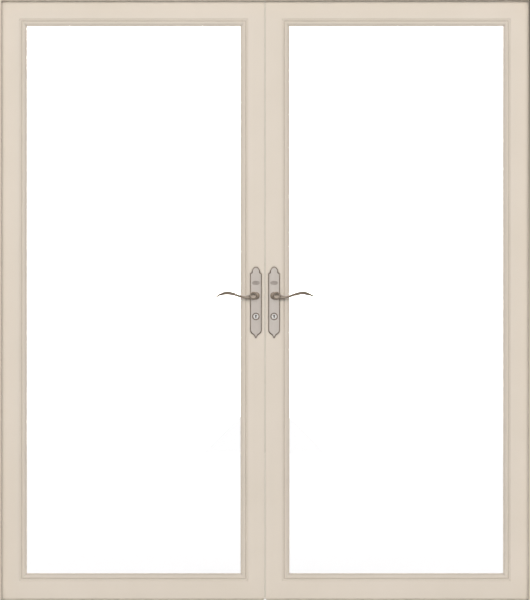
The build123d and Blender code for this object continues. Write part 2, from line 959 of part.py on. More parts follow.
def follower():
    """The hub that the spindle turns inside the lock case."""
    half = case_thickness / 2
    hub = rod_y(mid_y - half, mid_y + half, spindle_x, lever_z, hub_radius)
    inner = half - case_wall - case_clearance
    arm_half = hub_arm_width / 2
    hub += block(
        spindle_x - arm_half,
        spindle_x + arm_half,
        mid_y - inner,
        mid_y + inner,
        lever_z,
        lever_z + hub_arm_reach,
    )
    side = spindle_side / 2 + screw_clearance
    hub -= block(
        spindle_x - side, spindle_x + side, leaf_out, leaf_in, lever_z - side, lever_z + side
    )
    return hub


def spindle():
    """The square bar from one lever to the other."""
    half = spindle_side / 2
    reach = plate_thickness + inner_spindle_bite
    return block(
        spindle_x - half,
        spindle_x + half,
        leaf_out - reach,
        leaf_in + reach,
        lever_z - half,
        lever_z + half,
    )


def plate_outline(inset):
    """Half outline of a handle plate from its top to its tip, given as edges in X and Z."""
    half = plate_width / 2 - inset
    top = plate_above - inset
    arch = arch_width / 2 - inset
    shoulder = plate_above - arch_height - inset
    neck = shoulder + (plate_width - arch_width) / 2
    tail = -(plate_below - tail_height) + inset * 0.4
    tip = -plate_below + inset * 1.8
    tip_half = tail_tip_width / 2 * (1 - 4 * inset / plate_width)
    waist = (half + tip_half) / 2
    bend = (tail + tip) / 2
    lift = 0.29 * (neck - shoulder)
    edges = [
        ThreePointArc((0, top), (arch * 0.74, top - arch * 0.36), (arch, top - arch)),
        Line((arch, top - arch), (arch, neck)),
        ThreePointArc((arch, neck), (arch + lift, shoulder + lift), (half, shoulder)),
        Line((half, shoulder), (half, tail)),
        ThreePointArc((half, tail), (half - 2.4, (tail + bend) / 2 - 1), (waist, bend)),
        ThreePointArc((waist, bend), (tip_half + 2.0, (tip + bend) / 2 + 1), (tip_half, tip + tip_half)),
        ThreePointArc((tip_half, tip + tip_half), (tip_half * 0.7, tip + 0.4), (0, tip)),
        Line((0, tip), (0, top)),
    ]
    return edges


def plate_face(inset):
    """Whole outline of a handle plate, as a face in X and Z round the spindle."""
    half = make_face(plate_outline(inset))
    return half + mirror(half, about=Plane.YZ)


def plate_section(inset, y):
    """The plate's outline at one depth, set at the lock's backset."""
    return Pos(spindle_x, y, lever_z) * (Plane.XZ * plate_face(inset))


def plate_prism(inset, y0, y1):
    """The plate's outline pushed through in Y and set at the lock's backset."""
    return extrude(plate_section(inset, y1), y1 - y0)


def oval_prism(y0, y1):
    """The bare oval field near the plate's top."""
    face = Plane.XZ * Ellipse(oval_length / 2, oval_height / 2)
    return Pos(spindle_x, y1, lever_z + oval_rise) * extrude(face, y1 - y0)


def plate_bolt_heights():
    """The two bolts that draw the plates together."""
    return [lever_z + plate_bolt_above, lever_z - plate_bolt_below]


def handle_plate(outside):
    """A cast plate with a raised field, an oval, a spindle hole and a cylinder rim."""
    face = leaf_out if outside else leaf_in
    way = -1 if outside else 1
    edge = face + way * plate_edge_height
    top = face + way * plate_thickness
    low, high = sorted((face, edge))
    plate = plate_prism(0.0, low, high)
    plate += loft([plate_section(0.0, edge), plate_section(plate_edge_width, top)], ruled=True)
    low, high = sorted((top - way * oval_depth, top + way * 1.0))
    plate -= oval_prism(low, high)
    hole = collar_neck_radius + lever_gap
    low, high = sorted((face - way, top + way))
    plate -= rod_y(low, high, spindle_x, lever_z, hole)
    low, high = sorted((edge, top + way * rim_height))
    plate += rod_y(low, high, spindle_x, cylinder_z, rim_radius)
    low, high = sorted((face - way, top + way * (rim_height + 1)))
    bore = cylinder_radius + screw_clearance if outside else turn_shaft_radius + lever_gap
    plate -= rod_y(low, high, spindle_x, cylinder_z, bore)
    for z in plate_bolt_heights():
        if outside:
            low, high = face - plate_bolt_grip, face + 1
        else:
            low, high = face - 1, top + 1
            head_low = top - plate_bolt_head_depth
            plate -= rod_y(head_low, high, spindle_x, z, plate_bolt_head + screw_clearance)
        plate -= rod_y(low, high, spindle_x, z, plate_bolt_radius + screw_clearance)
    return plate


def plate_bolts(clearance=0.0):
    """Bolts from the inner plate through the stile into the outer plate."""
    bolts = []
    head_top = leaf_in + plate_thickness
    for z in plate_bolt_heights():
        shank = rod_y(
            leaf_out - plate_bolt_grip + 0.2,
            head_top - 0.5,
            spindle_x,
            z,
            plate_bolt_radius + clearance,
        )
        head = rod_y(
            head_top - plate_bolt_head_depth, head_top, spindle_x, z, plate_bolt_head + clearance
        )
        bolts.append(shank + head)
    return bolts


# Lever sections from the boss to the tip: distance out, rise, drop of the face, height, depth,
# and where the ridge lies between the lower edge (0) and the upper one (1).
lever_stations = [
    (6.0, -1.0, 0.0, 18.0, 13.0, 0.50),
    (22.0, -4.6, 0.0, 15.0, 10.0, 0.42),
    (34.0, -6.2, -0.5, 9.5, 8.5, 0.42),
    (47.0, -3.8, -1.5, 7.0, 8.0, 0.48),
    (61.0, 1.1, -2.0, 8.8, 8.0, 0.55),
    (75.0, 6.3, -2.0, 10.2, 8.0, 0.62),
    (91.0, 9.3, -1.5, 11.2, 8.0, 0.66),
    (103.0, 8.5, -0.5, 10.4, 7.6, 0.62),
    (115.0, 4.9, 0.8, 8.6, 7.0, 0.56),
    (125.0, -0.4, 2.0, 6.4, 6.4, 0.52),
    (132.5, -4.2, 3.0, 4.6, 5.6, 0.50),
]


def lever_section(out, rise, back, tall, deep, ridge):
    """One section across the grip: a soft back and two faces that meet in a ridge."""
    low = -tall / 2
    high = tall / 2
    crest = low + tall * ridge
    edges = [
        ThreePointArc(
            (-deep * 0.1, low), (-deep * 0.42, (low + crest) / 2 - tall * 0.06), (-deep * 0.5, crest)
        ),
        ThreePointArc(
            (-deep * 0.5, crest), (-deep * 0.42, (high + crest) / 2 + tall * 0.06), (-deep * 0.1, high)
        ),
        ThreePointArc((-deep * 0.1, high), (deep * 0.5, 0), (-deep * 0.1, low)),
    ]
    face = make_face(edges)
    plane = Plane(
        origin=(spindle_x - out, leaf_out - plate_thickness - boss_reach + 4 + back, lever_z + rise),
        x_dir=(0, 1, 0),
        z_dir=(1, 0, 0),
    )
    return plane * face


def lever_blank():
    """The outer lever: collar, leaning boss and the waved grip with its scooped neck."""
    face = leaf_out - plate_thickness
    section = [
        Line((0, 0), (collar_radius, 0)),
        Line((collar_radius, 0), (collar_radius, 2.0)),
        ThreePointArc(
            (collar_radius, 2.0),
            (collar_neck_radius + 0.6, collar_length * 0.45),
            (collar_neck_radius + 1.6, collar_length),
        ),
        Line((collar_neck_radius + 1.6, collar_length), (0, collar_length)),
        Line((0, collar_length), (0, 0)),
    ]
    profile = make_face(section)
    collar = revolve(profile, Axis.Y)
    collar = Pos(spindle_x, face - lever_gap, lever_z) * Rot(180, 0, 0) * collar
    neck = rod_y(leaf_out + lever_gap, face - 1, spindle_x, lever_z, collar_neck_radius)
    boss = Sphere(boss_radius)
    boss = Pos(spindle_x - boss_shift, face - boss_reach + boss_radius * 0.45, lever_z) * boss
    front = face - boss_reach - boss_radius * 0.2
    boss -= block(
        spindle_x - 60, spindle_x + 60, front - 30, front, lever_z - 60, lever_z + 60
    )
    grip = loft([lever_section(*station) for station in lever_stations])
    lever = collar + boss + grip + neck
    scoop = Pos(spindle_x - 22, front - 3.2, lever_z - 2.5) * Rot(0, -8, 0) * scale(
        Sphere(1.0), by=(15.0, 5.5, 3.6)
    )
    lever -= scoop
    side = spindle_side / 2 + screw_clearance
    lever -= block(
        spindle_x - side,
        spindle_x + side,
        face - inner_spindle_bite - lever_gap,
        leaf_out + 2,
        lever_z - side,
        lever_z + side,
    )
    return lever


def inner_lever():
    """The same lever turned to the room side, mirrored through the leaf's middle."""
    return mirror(lever_blank(), about=Plane((0, mid_y, 0), x_dir=(1, 0, 0), z_dir=(0, 1, 0)))


def cylinder():
    """The fixed body of the key cylinder, through the stile and the lock case."""
    front = leaf_out - plate_thickness - rim_height + 0.6
    back = mid_y + case_thickness / 2 + 4
    body = rod_y(front, back, spindle_x, cylinder_z, cylinder_radius)
    bore = plug_radius + turning_clearance
    return body - rod_y(front - 1, back + 1, spindle_x, cylinder_z, bore)


def key_plug():
    """The turning plug with its keyway, and the tail that reaches the thumb turn."""
    front = leaf_out - plate_thickness - rim_height + 0.3
    back = mid_y + case_thickness / 2 + 4
    plug = rod_y(front, back, spindle_x, cylinder_z, plug_radius)
    half = keyway_width / 2
    slot = block(
        spindle_x - half,
        spindle_x + half,
        front - 1,
        front + plug_length,
        cylinder_z - keyway_height * 0.6,
        cylinder_z + keyway_height * 0.4,
    )
    eye = rod_y(front - 1, front + plug_length, spindle_x, cylinder_z + keyway_height * 0.2, keyway_eye)
    return plug - slot - eye


def thumb_turn():
    """The oval turn on the inner plate, on a shaft that reaches the plug."""
    start = mid_y + case_thickness / 2 + 4
    face = leaf_in + plate_thickness + rim_height
    shaft = rod_y(start, face + 1, spindle_x, cylinder_z, turn_shaft_radius)
    rose = rod_y(
        face + lever_gap, face + lever_gap + turn_rose_height, spindle_x, cylinder_z, turn_rose_radius
    )
    grip = Plane.XZ * SlotOverall(turn_length, turn_thickness, rotation=90)
    depth = turn_height + turn_rose_height
    grip = Pos(spindle_x, face + lever_gap + depth, cylinder_z) * extrude(grip, depth)
    grip = chamfer(grip.faces().sort_by(Axis.Y)[-1].edges(), turn_thickness * 0.2)
    return shaft + rose + grip


def leaf_holes():
    """The round holes through both faces of the lock stile."""
    cut = rod_y(leaf_out - 1, leaf_in + 1, spindle_x, lever_z, collar_neck_radius + lever_gap)
    cut += rod_y(
        leaf_out - 1, leaf_in + 1, spindle_x, cylinder_z, cylinder_radius + screw_clearance
    )
    for z in plate_bolt_heights():
        cut += rod_y(leaf_out - 1, leaf_in + 1, spindle_x, z, plate_bolt_radius + 0.5)
    return cut


def fin_kerf():
    """The groove in the meeting edge that holds the fin seal's barb."""
    middle = leaf_out + fin_thickness / 2 + 1.0
    half = fin_barb_width / 2
    return block(
        leaf_right - fin_barb_depth,
        leaf_right + 1,
        middle - half,
        middle + half,
        leaf_bottom - 1,
        leaf_top + 1,
    )


def leaf(side):
    """All the pieces of one leaf, drawn as the left one."""
    passive = side == "left"
    bars = leaf_bars()
    keys = [corner_key(kind) for kind in ("hinge low", "hinge high", "lock low", "lock high")]
    lower_sweep = sweep()
    lock_stile = bars["lock"] - lock_face_cut(case_clearance) - leaf_holes() - fin_kerf()
    hinge_stile = bars["hinge"]
    top_rail = bars["top"] - fin_kerf()
    bottom_rail = bars["bottom"] - fin_kerf()
    if passive:
        high, low = rod_holes(turning_clearance)
        top_rail -= high
        bottom_rail -= low
        high, low = rod_holes(0.4)
        keys = [key - high - low for key in keys]
        lower_sweep -= low
    screws = []
    wings = []
    for base in hinge_bases():
        wings.append(hinge_wing(base, True))
        for y, z in screw_spots(base):
            screws.append(wing_screw(y, z, True))
            hinge_stile -= wing_screw(y, z, True, screw_clearance)
    for screw, hole in zip(faceplate_screws(), faceplate_screws(screw_clearance)):
        screws.append(screw)
        lock_stile -= hole
    screws += plate_bolts()
    panes, ring = glass_unit()
    pieces = {
        "hinge_stile": [hinge_stile],
        "lock_stile": [lock_stile],
        "top_rail": [top_rail],
        "bottom_rail": [bottom_rail],
        "corner_keys": keys,
        "glass_panes": panes,
        "spacer": [ring],
        "glazing_rubbers": glazing_rubbers(),
        "glazing_beads": glazing_beads(),
        "sweep": [lower_sweep],
        "meeting_seal": [fin_seal()],
        "hinge_wings": wings,
        "screws": screws,
        "lock_case": [lock_case(passive)],
        "faceplate": [faceplate(strike_clearance if passive else bolt_guide_clearance)],
        "outer_plate": [handle_plate(True)],
        "inner_plate": [handle_plate(False)],
        "cylinder": [cylinder()],
        "outer_lever": [lever_blank()],
        "inner_lever": [inner_lever()],
        "spindle": [spindle(), follower()],
        "key_plug": [key_plug()],
        "thumb_turn": [thumb_turn()],
    }
    if passive:
        top_bolt, bottom_bolt = rods()
        pieces["top_bolt"] = [top_bolt]
        pieces["bottom_bolt"] = [bottom_bolt]
    else:
        pieces["latch"] = [latch()]
        pieces["deadbolt"] = [deadbolt()]
    return pieces


os.makedirs("parts", exist_ok=True)

jamb, head = frame_members(board_profile())
side_stop, head_stop = frame_members(stop_profile())
jamb -= frame_mortises()
head -= head_pocket()
threshold = sill()
for spot in frame_screw_spots():
    hole = frame_screw(*spot, clearance=screw_clearance)
    side_stop -= hole
    threshold -= hole
    threshold -= mirror(hole, about=Plane.YZ)
    head -= hole
    head -= mirror(hole, about=Plane.YZ)
save([jamb], "frame_jamb_left")
save(mirrored([jamb]), "frame_jamb_right")
save([head], "frame_head")
save([side_stop, mirror(side_stop, about=Plane.YZ), head_stop], "frame_stops")
save([threshold], "frame_sill")
save(frame_seals(), "frame_seals")

frame_wings = [hinge_wing(base, False) for base in hinge_bases()]
pins = [hinge_pin(base) for base in hinge_bases()]
frame_fixings = [
    wing_screw(y, z, False) for base in hinge_bases() for y, z in screw_spots(base)
]
frame_fixings += [frame_screw(*spot) for spot in frame_screw_spots()]
save(frame_wings + mirrored(frame_wings), "frame_hinge_wings")
save(pins + mirrored(pins), "hinge_pins")
save(frame_fixings + mirrored(frame_fixings), "frame_screws")
save([keeper(head_rebate, 1), keeper(sill_top, -1)], "bolt_keepers")

for side in ("left", "right"):
    for name, shapes in leaf(side).items():
        placed = shapes if side == "left" else mirrored(shapes)
        save(placed, f"{side}_{name}")
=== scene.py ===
"""Looks of a pair of glazed french doors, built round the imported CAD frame."""

import json
import logging
import math
from collections.abc import Sequence
from dataclasses import dataclass, replace
from enum import Enum

import bmesh
import bpy
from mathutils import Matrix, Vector

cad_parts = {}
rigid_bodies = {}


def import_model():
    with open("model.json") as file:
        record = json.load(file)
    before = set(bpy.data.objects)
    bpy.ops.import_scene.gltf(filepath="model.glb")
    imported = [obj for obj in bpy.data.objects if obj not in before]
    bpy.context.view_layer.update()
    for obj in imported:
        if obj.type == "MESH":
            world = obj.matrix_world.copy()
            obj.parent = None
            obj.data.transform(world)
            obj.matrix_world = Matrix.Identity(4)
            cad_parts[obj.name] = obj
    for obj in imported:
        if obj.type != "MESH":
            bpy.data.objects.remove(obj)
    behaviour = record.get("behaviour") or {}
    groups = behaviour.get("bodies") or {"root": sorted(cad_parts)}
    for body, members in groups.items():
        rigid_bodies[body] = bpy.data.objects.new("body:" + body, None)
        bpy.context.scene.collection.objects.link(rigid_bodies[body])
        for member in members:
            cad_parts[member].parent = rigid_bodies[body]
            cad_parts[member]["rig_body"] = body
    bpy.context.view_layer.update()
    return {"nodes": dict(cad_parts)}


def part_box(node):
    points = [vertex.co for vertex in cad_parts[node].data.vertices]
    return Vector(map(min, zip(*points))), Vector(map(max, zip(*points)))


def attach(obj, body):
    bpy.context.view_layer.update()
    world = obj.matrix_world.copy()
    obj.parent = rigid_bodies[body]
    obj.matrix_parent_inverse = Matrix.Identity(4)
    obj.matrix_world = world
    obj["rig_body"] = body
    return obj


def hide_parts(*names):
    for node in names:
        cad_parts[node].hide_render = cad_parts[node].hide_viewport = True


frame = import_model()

LOG = logging.getLogger("french_doors")

MM = 0.001

# Sockets of a Mix node that mixes colours: its factor, its two colours and its result.
MIX_FACTOR = 0
MIX_FIRST = 6
MIX_SECOND = 7
MIX_RESULT = 2

# What the photograph's height measures at the leaves' outer face, in millimetres.
PHOTO_MILLIMETRES = 1961.5

# The left leaf's spindle where it leaves the outer plate; the right leaf's is its mirror image.
SPINDLE_FROM_MIDDLE = 29.75
SPINDLE_HEIGHT = 1011.5
PLATE_FACE = -12.0


def linear(hex_colour: str) -> tuple[float, float, float, float]:
    """Turns an sRGB hex colour into the linear values that a shader takes.

    Args:
        hex_colour: Six hex digits, with or without a leading hash.

    Returns:
        Red, green, blue and an alpha of one.
    """
    digits = hex_colour.lstrip("#")
    parts = [int(digits[i : i + 2], 16) / 255 for i in (0, 2, 4)]
    curved = [c / 12.92 if c <= 0.04045 else ((c + 0.055) / 1.055) ** 2.4 for c in parts]
    return (*curved, 1.0)


def add_node(
    tree: bpy.types.NodeTree,
    kind: str,
    settings: dict[str | int, object] | None = None,
    links: dict[str | int, bpy.types.NodeSocket] | None = None,
) -> bpy.types.Node:
    """Adds a shader node, sets what is constant on it and links the rest.

    Args:
        tree: The node tree of a material or the world.
        kind: The node's type name.
        settings: Values by node property first, then by socket name or number.
        links: Socket names or numbers and the output that feeds each.

    Returns:
        The new node.
    """
    node = tree.nodes.new(kind)
    for key, value in (settings or {}).items():
        if isinstance(key, str) and hasattr(node, key):
            setattr(node, key, value)
        else:
            node.inputs[key].default_value = value
    for key, output in (links or {}).items():
        tree.links.new(output, node.inputs[key])
    return node


def cycles_per_metre(size_mm: float) -> float:
    """The scale of a pattern on object coordinates.

    Args:
        size_mm: How large the pattern's features are.

    Returns:
        The scale that a texture node takes.
    """
    return 1.0 / (size_mm * MM)


class Grain(Enum):
    """The direction that a drawn, brushed or sawn grain runs in."""

    NONE = (1.0, 1.0, 1.0)
    ALONG_X = (0.02, 1.0, 1.0)
    ALONG_Y = (1.0, 0.02, 1.0)
    ALONG_Z = (1.0, 1.0, 0.02)


@dataclass(frozen=True)
class Finish:
    """A surface: one real material with its colour, gloss, mottling and grain.

    The base class makes a shader of two noises. The broad one shifts the colour a
    little, and the fine one is the surface's own texture, as a bump and in its gloss.

    Attributes:
        name: Of the material.
        slot: What a user of the part recolours it as; not used in this script.
        colour: Where the broad noise is high, as an sRGB hex value.
        shade: Where the broad noise is low.
        roughness: Of the shader, on average.
        metallic: One for bare and plated metal.
        mottle_mm: Size of the patches in the colour.
        texture_mm: Size of the surface's texture.
        texture_depth_mm: How deep that texture is.
        roughness_swing: How far the roughness strays from its average.
        grain: Which way the texture is drawn out.
    """

    name: str
    slot: str
    colour: str
    shade: str
    roughness: float
    metallic: float = 0.0
    mottle_mm: float = 140.0
    texture_mm: float = 6.0
    texture_depth_mm: float = 0.02
    roughness_swing: float = 0.06
    grain: Grain = Grain.NONE

    def material(self) -> bpy.types.Material:
        """Makes the material once and returns it again when asked for later.

        Returns:
            The Blender material of this finish.
        """
        found = bpy.data.materials.get(self.name)
        if found:
            return found
        made = bpy.data.materials.new(self.name)
        made.use_nodes = True
        tree = made.node_tree
        tree.nodes.clear()
        shader = add_node(
            tree,
            "ShaderNodeBsdfPrincipled",
            {"Metallic": self.metallic, "Roughness": self.roughness},
        )
        self.dress(tree, shader)
        add_node(tree, "ShaderNodeOutputMaterial", links={"Surface": shader.outputs["BSDF"]})
        return made

    def dress(self, tree: bpy.types.NodeTree, shader: bpy.types.Node) -> None:
        """Links the mottled colour, the roughness and the bump to the shader.

        Args:
            tree: The material's node tree.
            shader: Its Principled shader.
        """
        place = add_node(tree, "ShaderNodeTexCoord").outputs["Object"]
        grain = add_node(
            tree,
            "ShaderNodeMapping",
            {"Scale": self.grain.value},
            {"Vector": place},
        ).outputs["Vector"]
        broad = add_node(
            tree,
            "ShaderNodeTexNoise",
            {"Scale": cycles_per_metre(self.mottle_mm), "Detail": 3.0, "Roughness": 0.5},
            {"Vector": grain},
        ).outputs["Fac"]
        fine = add_node(
            tree,
            "ShaderNodeTexNoise",
            {"Scale": cycles_per_metre(self.texture_mm), "Detail": 2.0, "Roughness": 0.55},
            {"Vector": grain},
        ).outputs["Fac"]
        ramp = add_node(tree, "ShaderNodeValToRGB", links={"Fac": broad})
        ramp.color_ramp.elements[0].position = 0.3
        ramp.color_ramp.elements[0].color = linear(self.shade)
        ramp.color_ramp.elements[1].position = 0.7
        ramp.color_ramp.elements[1].color = linear(self.colour)
        tree.links.new(ramp.outputs["Color"], shader.inputs["Base Color"])
        smoothest = self.roughness - self.roughness_swing
        roughest = self.roughness + self.roughness_swing
        gloss = add_node(
            tree,
            "ShaderNodeMapRange",
            {"To Min": smoothest, "To Max": roughest},
            {"Value": fine},
        )
        tree.links.new(gloss.outputs["Result"], shader.inputs["Roughness"])
        bump = add_node(
            tree,
            "ShaderNodeBump",
            {"Strength": 1.0, "Distance": self.texture_depth_mm * MM},
            {"Height": fine},
        )
        tree.links.new(bump.outputs["Normal"], shader.inputs["Normal"])


@dataclass(frozen=True)
class RecessShadedCoat(Finish):
    """A coat with painted shade: its colour is darkened in its recesses, by ambient occlusion.

    Attributes:
        reach_mm: How near other surfaces must be to count as a recess.
        recess_shade: How much of the painted shade in the recesses shows.
    """

    reach_mm: float = 6.0
    recess_shade: float = 0.7

    def dress(self, tree: bpy.types.NodeTree, shader: bpy.types.Node) -> None:
        """Darkens the colour as painted shade where the surface is closed in by its own
        mouldings.

        Args:
            tree: The material's node tree.
            shader: Its Principled shader.
        """
        super().dress(tree, shader)
        plain = shader.inputs["Base Color"].links[0].from_socket
        shade = add_node(
            tree,
            "ShaderNodeAmbientOcclusion",
            {"samples": 6, "Distance": self.reach_mm * MM},
            {"Color": plain},
        )
        # Painted shade: the colour is mixed towards its own ambient occlusion.
        recess_shaded = add_node(
            tree,
            "ShaderNodeMix",
            {"data_type": "RGBA", MIX_FACTOR: self.recess_shade},
            {MIX_FIRST: plain, MIX_SECOND: shade.outputs["Color"]},
        )
        tree.links.new(recess_shaded.outputs[MIX_RESULT], shader.inputs["Base Color"])


@dataclass(frozen=True)
class HollowShadedMetal(Finish):
    """Plated metal with painted shade: its colour darkens in its hollows, by how sharply the
    surface bends.

    Attributes:
        hollow: Colour of the painted shade in the hollows.
        hollow_bend: Pointiness at which the painted shade is full.
        flat_bend: Pointiness of a flat face, which gets no painted shade.
    """

    hollow: str = "#8E8074"
    hollow_bend: float = 0.44
    flat_bend: float = 0.5

    def dress(self, tree: bpy.types.NodeTree, shader: bpy.types.Node) -> None:
        """Adds painted shade in the hollows to the usual mottling, by how sharply the surface
        bends.

        Args:
            tree: The material's node tree.
            shader: Its Principled shader.
        """
        super().dress(tree, shader)
        plain = shader.inputs["Base Color"].links[0].from_socket
        bend = add_node(tree, "ShaderNodeNewGeometry").outputs["Pointiness"]
        depth = add_node(
            tree,
            "ShaderNodeMapRange",
            {
                "From Min": self.hollow_bend,
                "From Max": self.flat_bend,
                "To Min": 1.0,
                "To Max": 0.0,
            },
            {"Value": bend},
        ).outputs["Result"]
        # Painted shade: the colour turns to the hollow colour where the surface bends inwards.
        mix = add_node(
            tree,
            "ShaderNodeMix",
            {"data_type": "RGBA", MIX_SECOND: linear(self.hollow)},
            {MIX_FACTOR: depth, MIX_FIRST: plain},
        )
        tree.links.new(mix.outputs[MIX_RESULT], shader.inputs["Base Color"])


@dataclass(frozen=True)
class ClearGlass(Finish):
    """Float glass: clear, with a mirror-smooth face."""

    def dress(self, tree: bpy.types.NodeTree, shader: bpy.types.Node) -> None:
        """Makes the shader transmit, and ripples the faces as float glass does.

        Args:
            tree: The material's node tree.
            shader: Its Principled shader.
        """
        shader.inputs["Base Color"].default_value = linear(self.colour)
        shader.inputs["Transmission Weight"].default_value = 1.0
        shader.inputs["IOR"].default_value = 1.5
        place = add_node(tree, "ShaderNodeTexCoord").outputs["Object"]
        ripple = add_node(
            tree,
            "ShaderNodeTexNoise",
            {"Scale": cycles_per_metre(self.mottle_mm), "Detail": 1.0},
            {"Vector": place},
        ).outputs["Fac"]
        bump = add_node(
            tree,
            "ShaderNodeBump",
            {"Strength": 1.0, "Distance": self.texture_depth_mm * MM},
            {"Height": ripple},
        )
        tree.links.new(bump.outputs["Normal"], shader.inputs["Normal"])


# Sandstone polyester powder on extruded aluminium: even and semi-matte, with an orange peel.
# The peel is about 2 mm across on the real bar and is drawn at 9 mm so that it shows.
# Its recesses are darkened with painted shade.
POWDER_COAT = RecessShadedCoat(
    name="sandstone_powder_coat",
    slot="leaf_finish",
    colour="#E4DBD0",
    shade="#E0D7CB",
    roughness=0.46,
    mottle_mm=260.0,
    texture_mm=9.0,
    texture_depth_mm=0.03,
)

# Brush-painted softwood in the same sandstone: a faint grain runs up the posts under the paint.
PAINTED_POST = Finish(
    name="painted_softwood_upright",
    slot="frame_finish",
    colour="#DED5C5",
    shade="#D6CDBC",
    roughness=0.5,
    mottle_mm=40.0,
    texture_mm=5.0,
    texture_depth_mm=0.05,
    grain=Grain.ALONG_Z,
)
PAINTED_BEAM = replace(PAINTED_POST, name="painted_softwood_level", grain=Grain.ALONG_X)

# Clear anodised aluminium, extruded: fine die lines run along the threshold.
ANODISED_SILL = Finish(
    name="anodised_aluminium_threshold",
    slot="sill_metal",
    colour="#B9B6AF",
    shade="#ADAAA3",
    roughness=0.38,
    metallic=1.0,
    mottle_mm=60.0,
    texture_mm=3.0,
    texture_depth_mm=0.02,
    grain=Grain.ALONG_X,
)

# Satin nickel plate on brass: warm, brushed along the plate's length before plating.
SATIN_NICKEL = Finish(
    name="satin_nickel_plate",
    slot="satin_nickel",
    colour="#EFE6DD",
    shade="#E6DBD1",
    roughness=0.3,
    metallic=1.0,
    mottle_mm=30.0,
    texture_mm=1.2,
    texture_depth_mm=0.006,
    grain=Grain.ALONG_Z,
)

# The plate's bevel, sides and cylinder rim: the same nickel, darker and browner as painted shade.
NICKEL_EDGE_SHADE = Finish(
    name="nickel_painted_edge_shade",
    slot="satin_nickel",
    colour="#9C8B7B",
    shade="#87776A",
    roughness=0.34,
    metallic=1.0,
    mottle_mm=12.0,
    texture_mm=1.2,
    texture_depth_mm=0.006,
)

# The bare oval field, matt from the blasting that such a field gets.
BLASTED_OVAL = Finish(
    name="blasted_nickel_oval",
    slot="satin_nickel",
    colour="#D8CDC4",
    shade="#CCC0B7",
    roughness=0.5,
    metallic=1.0,
    mottle_mm=6.0,
    texture_mm=0.8,
    texture_depth_mm=0.02,
)

# The levers: the same nickel, in a colour darker than the plates' as painted shade, and with
# painted shade in the hollows.
SATIN_LEVER = HollowShadedMetal(
    name="satin_nickel_lever",
    slot="satin_nickel",
    # Darker than the plates' nickel: painted shade.
    colour="#BFB1A3",
    shade="#AFA193",
    roughness=0.22,
    metallic=1.0,
    mottle_mm=30.0,
    texture_mm=1.2,
    texture_depth_mm=0.004,
    grain=Grain.ALONG_X,
    # The colour of the painted shade in the hollows.
    hollow="#74675B",
)

# Bright nickel on the cylinder's face: almost a mirror.
BRIGHT_NICKEL = Finish(
    name="bright_nickel_face",
    slot="satin_nickel",
    colour="#F4F1EC",
    shade="#EAE6E0",
    roughness=0.14,
    metallic=1.0,
    mottle_mm=12.0,
    texture_mm=1.0,
    texture_depth_mm=0.002,
    roughness_swing=0.03,
)

# Painted shade: near black on all that lies behind the cylinder's face, the keyway's inside too.
KEYWAY_SHADE = Finish(
    name="painted_keyway_shade",
    slot="satin_nickel",
    colour="#1E1A17",
    shade="#15110F",
    roughness=0.5,
    metallic=0.0,
    mottle_mm=4.0,
    texture_mm=0.8,
    texture_depth_mm=0.01,
)

# Satin nickel on steel hinges, tumbled and so without a grain.
HINGE_NICKEL = Finish(
    name="satin_nickel_hinge",
    slot="hinge_nickel",
    colour="#CDC5BC",
    shade="#BFB7AE",
    roughness=0.36,
    metallic=1.0,
    mottle_mm=25.0,
    texture_mm=1.5,
    texture_depth_mm=0.006,
)

# Zinc plate on pressed steel, with the dull bloom that it takes in a barrel.
ZINC_STEEL = Finish(
    name="zinc_plated_steel",
    slot="lock_steel",
    colour="#B8BAB9",
    shade="#A6A9A9",
    roughness=0.42,
    metallic=1.0,
    mottle_mm=8.0,
    texture_mm=1.5,
    texture_depth_mm=0.006,
)

# Nickelled screws, a little brighter than the hinges that they hold.
SCREW_STEEL = Finish(
    name="nickelled_screw_steel",
    slot="screw_steel",
    colour="#C9C4BC",
    shade="#BDB8B0",
    roughness=0.34,
    metallic=1.0,
    mottle_mm=4.0,
    texture_mm=1.0,
    texture_depth_mm=0.004,
)

# Mill-finish die-cast aluminium of the corner keys, never seen from outside.
MILL_ALUMINIUM = Finish(
    name="mill_aluminium",
    slot="key_metal",
    colour="#B9BABA",
    shade="#A9AAAA",
    roughness=0.48,
    metallic=1.0,
    mottle_mm=15.0,
    texture_mm=2.0,
    texture_depth_mm=0.02,
)

# Rolled aluminium spacer between the panes, with a satin face.
SPACER_ALUMINIUM = Finish(
    name="rolled_aluminium_spacer",
    slot="spacer_metal",
    colour="#C4C5C5",
    shade="#B7B8B8",
    roughness=0.4,
    metallic=1.0,
    mottle_mm=20.0,
    texture_mm=2.0,
    texture_depth_mm=0.01,
)

# Extruded vinyl in the leaf's colour: matte, and slightly darker than the coated bars.
SEAL_VINYL = Finish(
    name="sandstone_vinyl_seal",
    slot="seal_vinyl",
    colour="#DDD5C6",
    shade="#D6CEBF",
    roughness=0.62,
    mottle_mm=30.0,
    texture_mm=2.5,
    texture_depth_mm=0.02,
)

# Glazing gasket of dense rubber in a warm grey, as matte as it looks.
GLAZING_RUBBER = Finish(
    name="warm_grey_glazing_rubber",
    slot="glazing_rubber",
    colour="#BDB6A9",
    shade="#B2AB9E",
    roughness=0.7,
    mottle_mm=20.0,
    texture_mm=2.0,
    texture_depth_mm=0.02,
)

CLEAR_FLOAT = ClearGlass(
    name="clear_float_glass",
    slot="clear_glass",
    colour="#FFFFFF",
    shade="#FFFFFF",
    roughness=0.0,
    mottle_mm=180.0,
    texture_depth_mm=0.01,
)

NODE_FINISHES: dict[str, Finish] = {
    "frame_jamb_left": PAINTED_POST,
    "frame_jamb_right": PAINTED_POST,
    "frame_head": PAINTED_BEAM,
    "frame_stops": PAINTED_POST,
    "frame_sill": ANODISED_SILL,
    "frame_seals": SEAL_VINYL,
    "frame_hinge_wings": HINGE_NICKEL,
    "hinge_pins": HINGE_NICKEL,
    "frame_screws": SCREW_STEEL,
    "bolt_keepers": ZINC_STEEL,
}

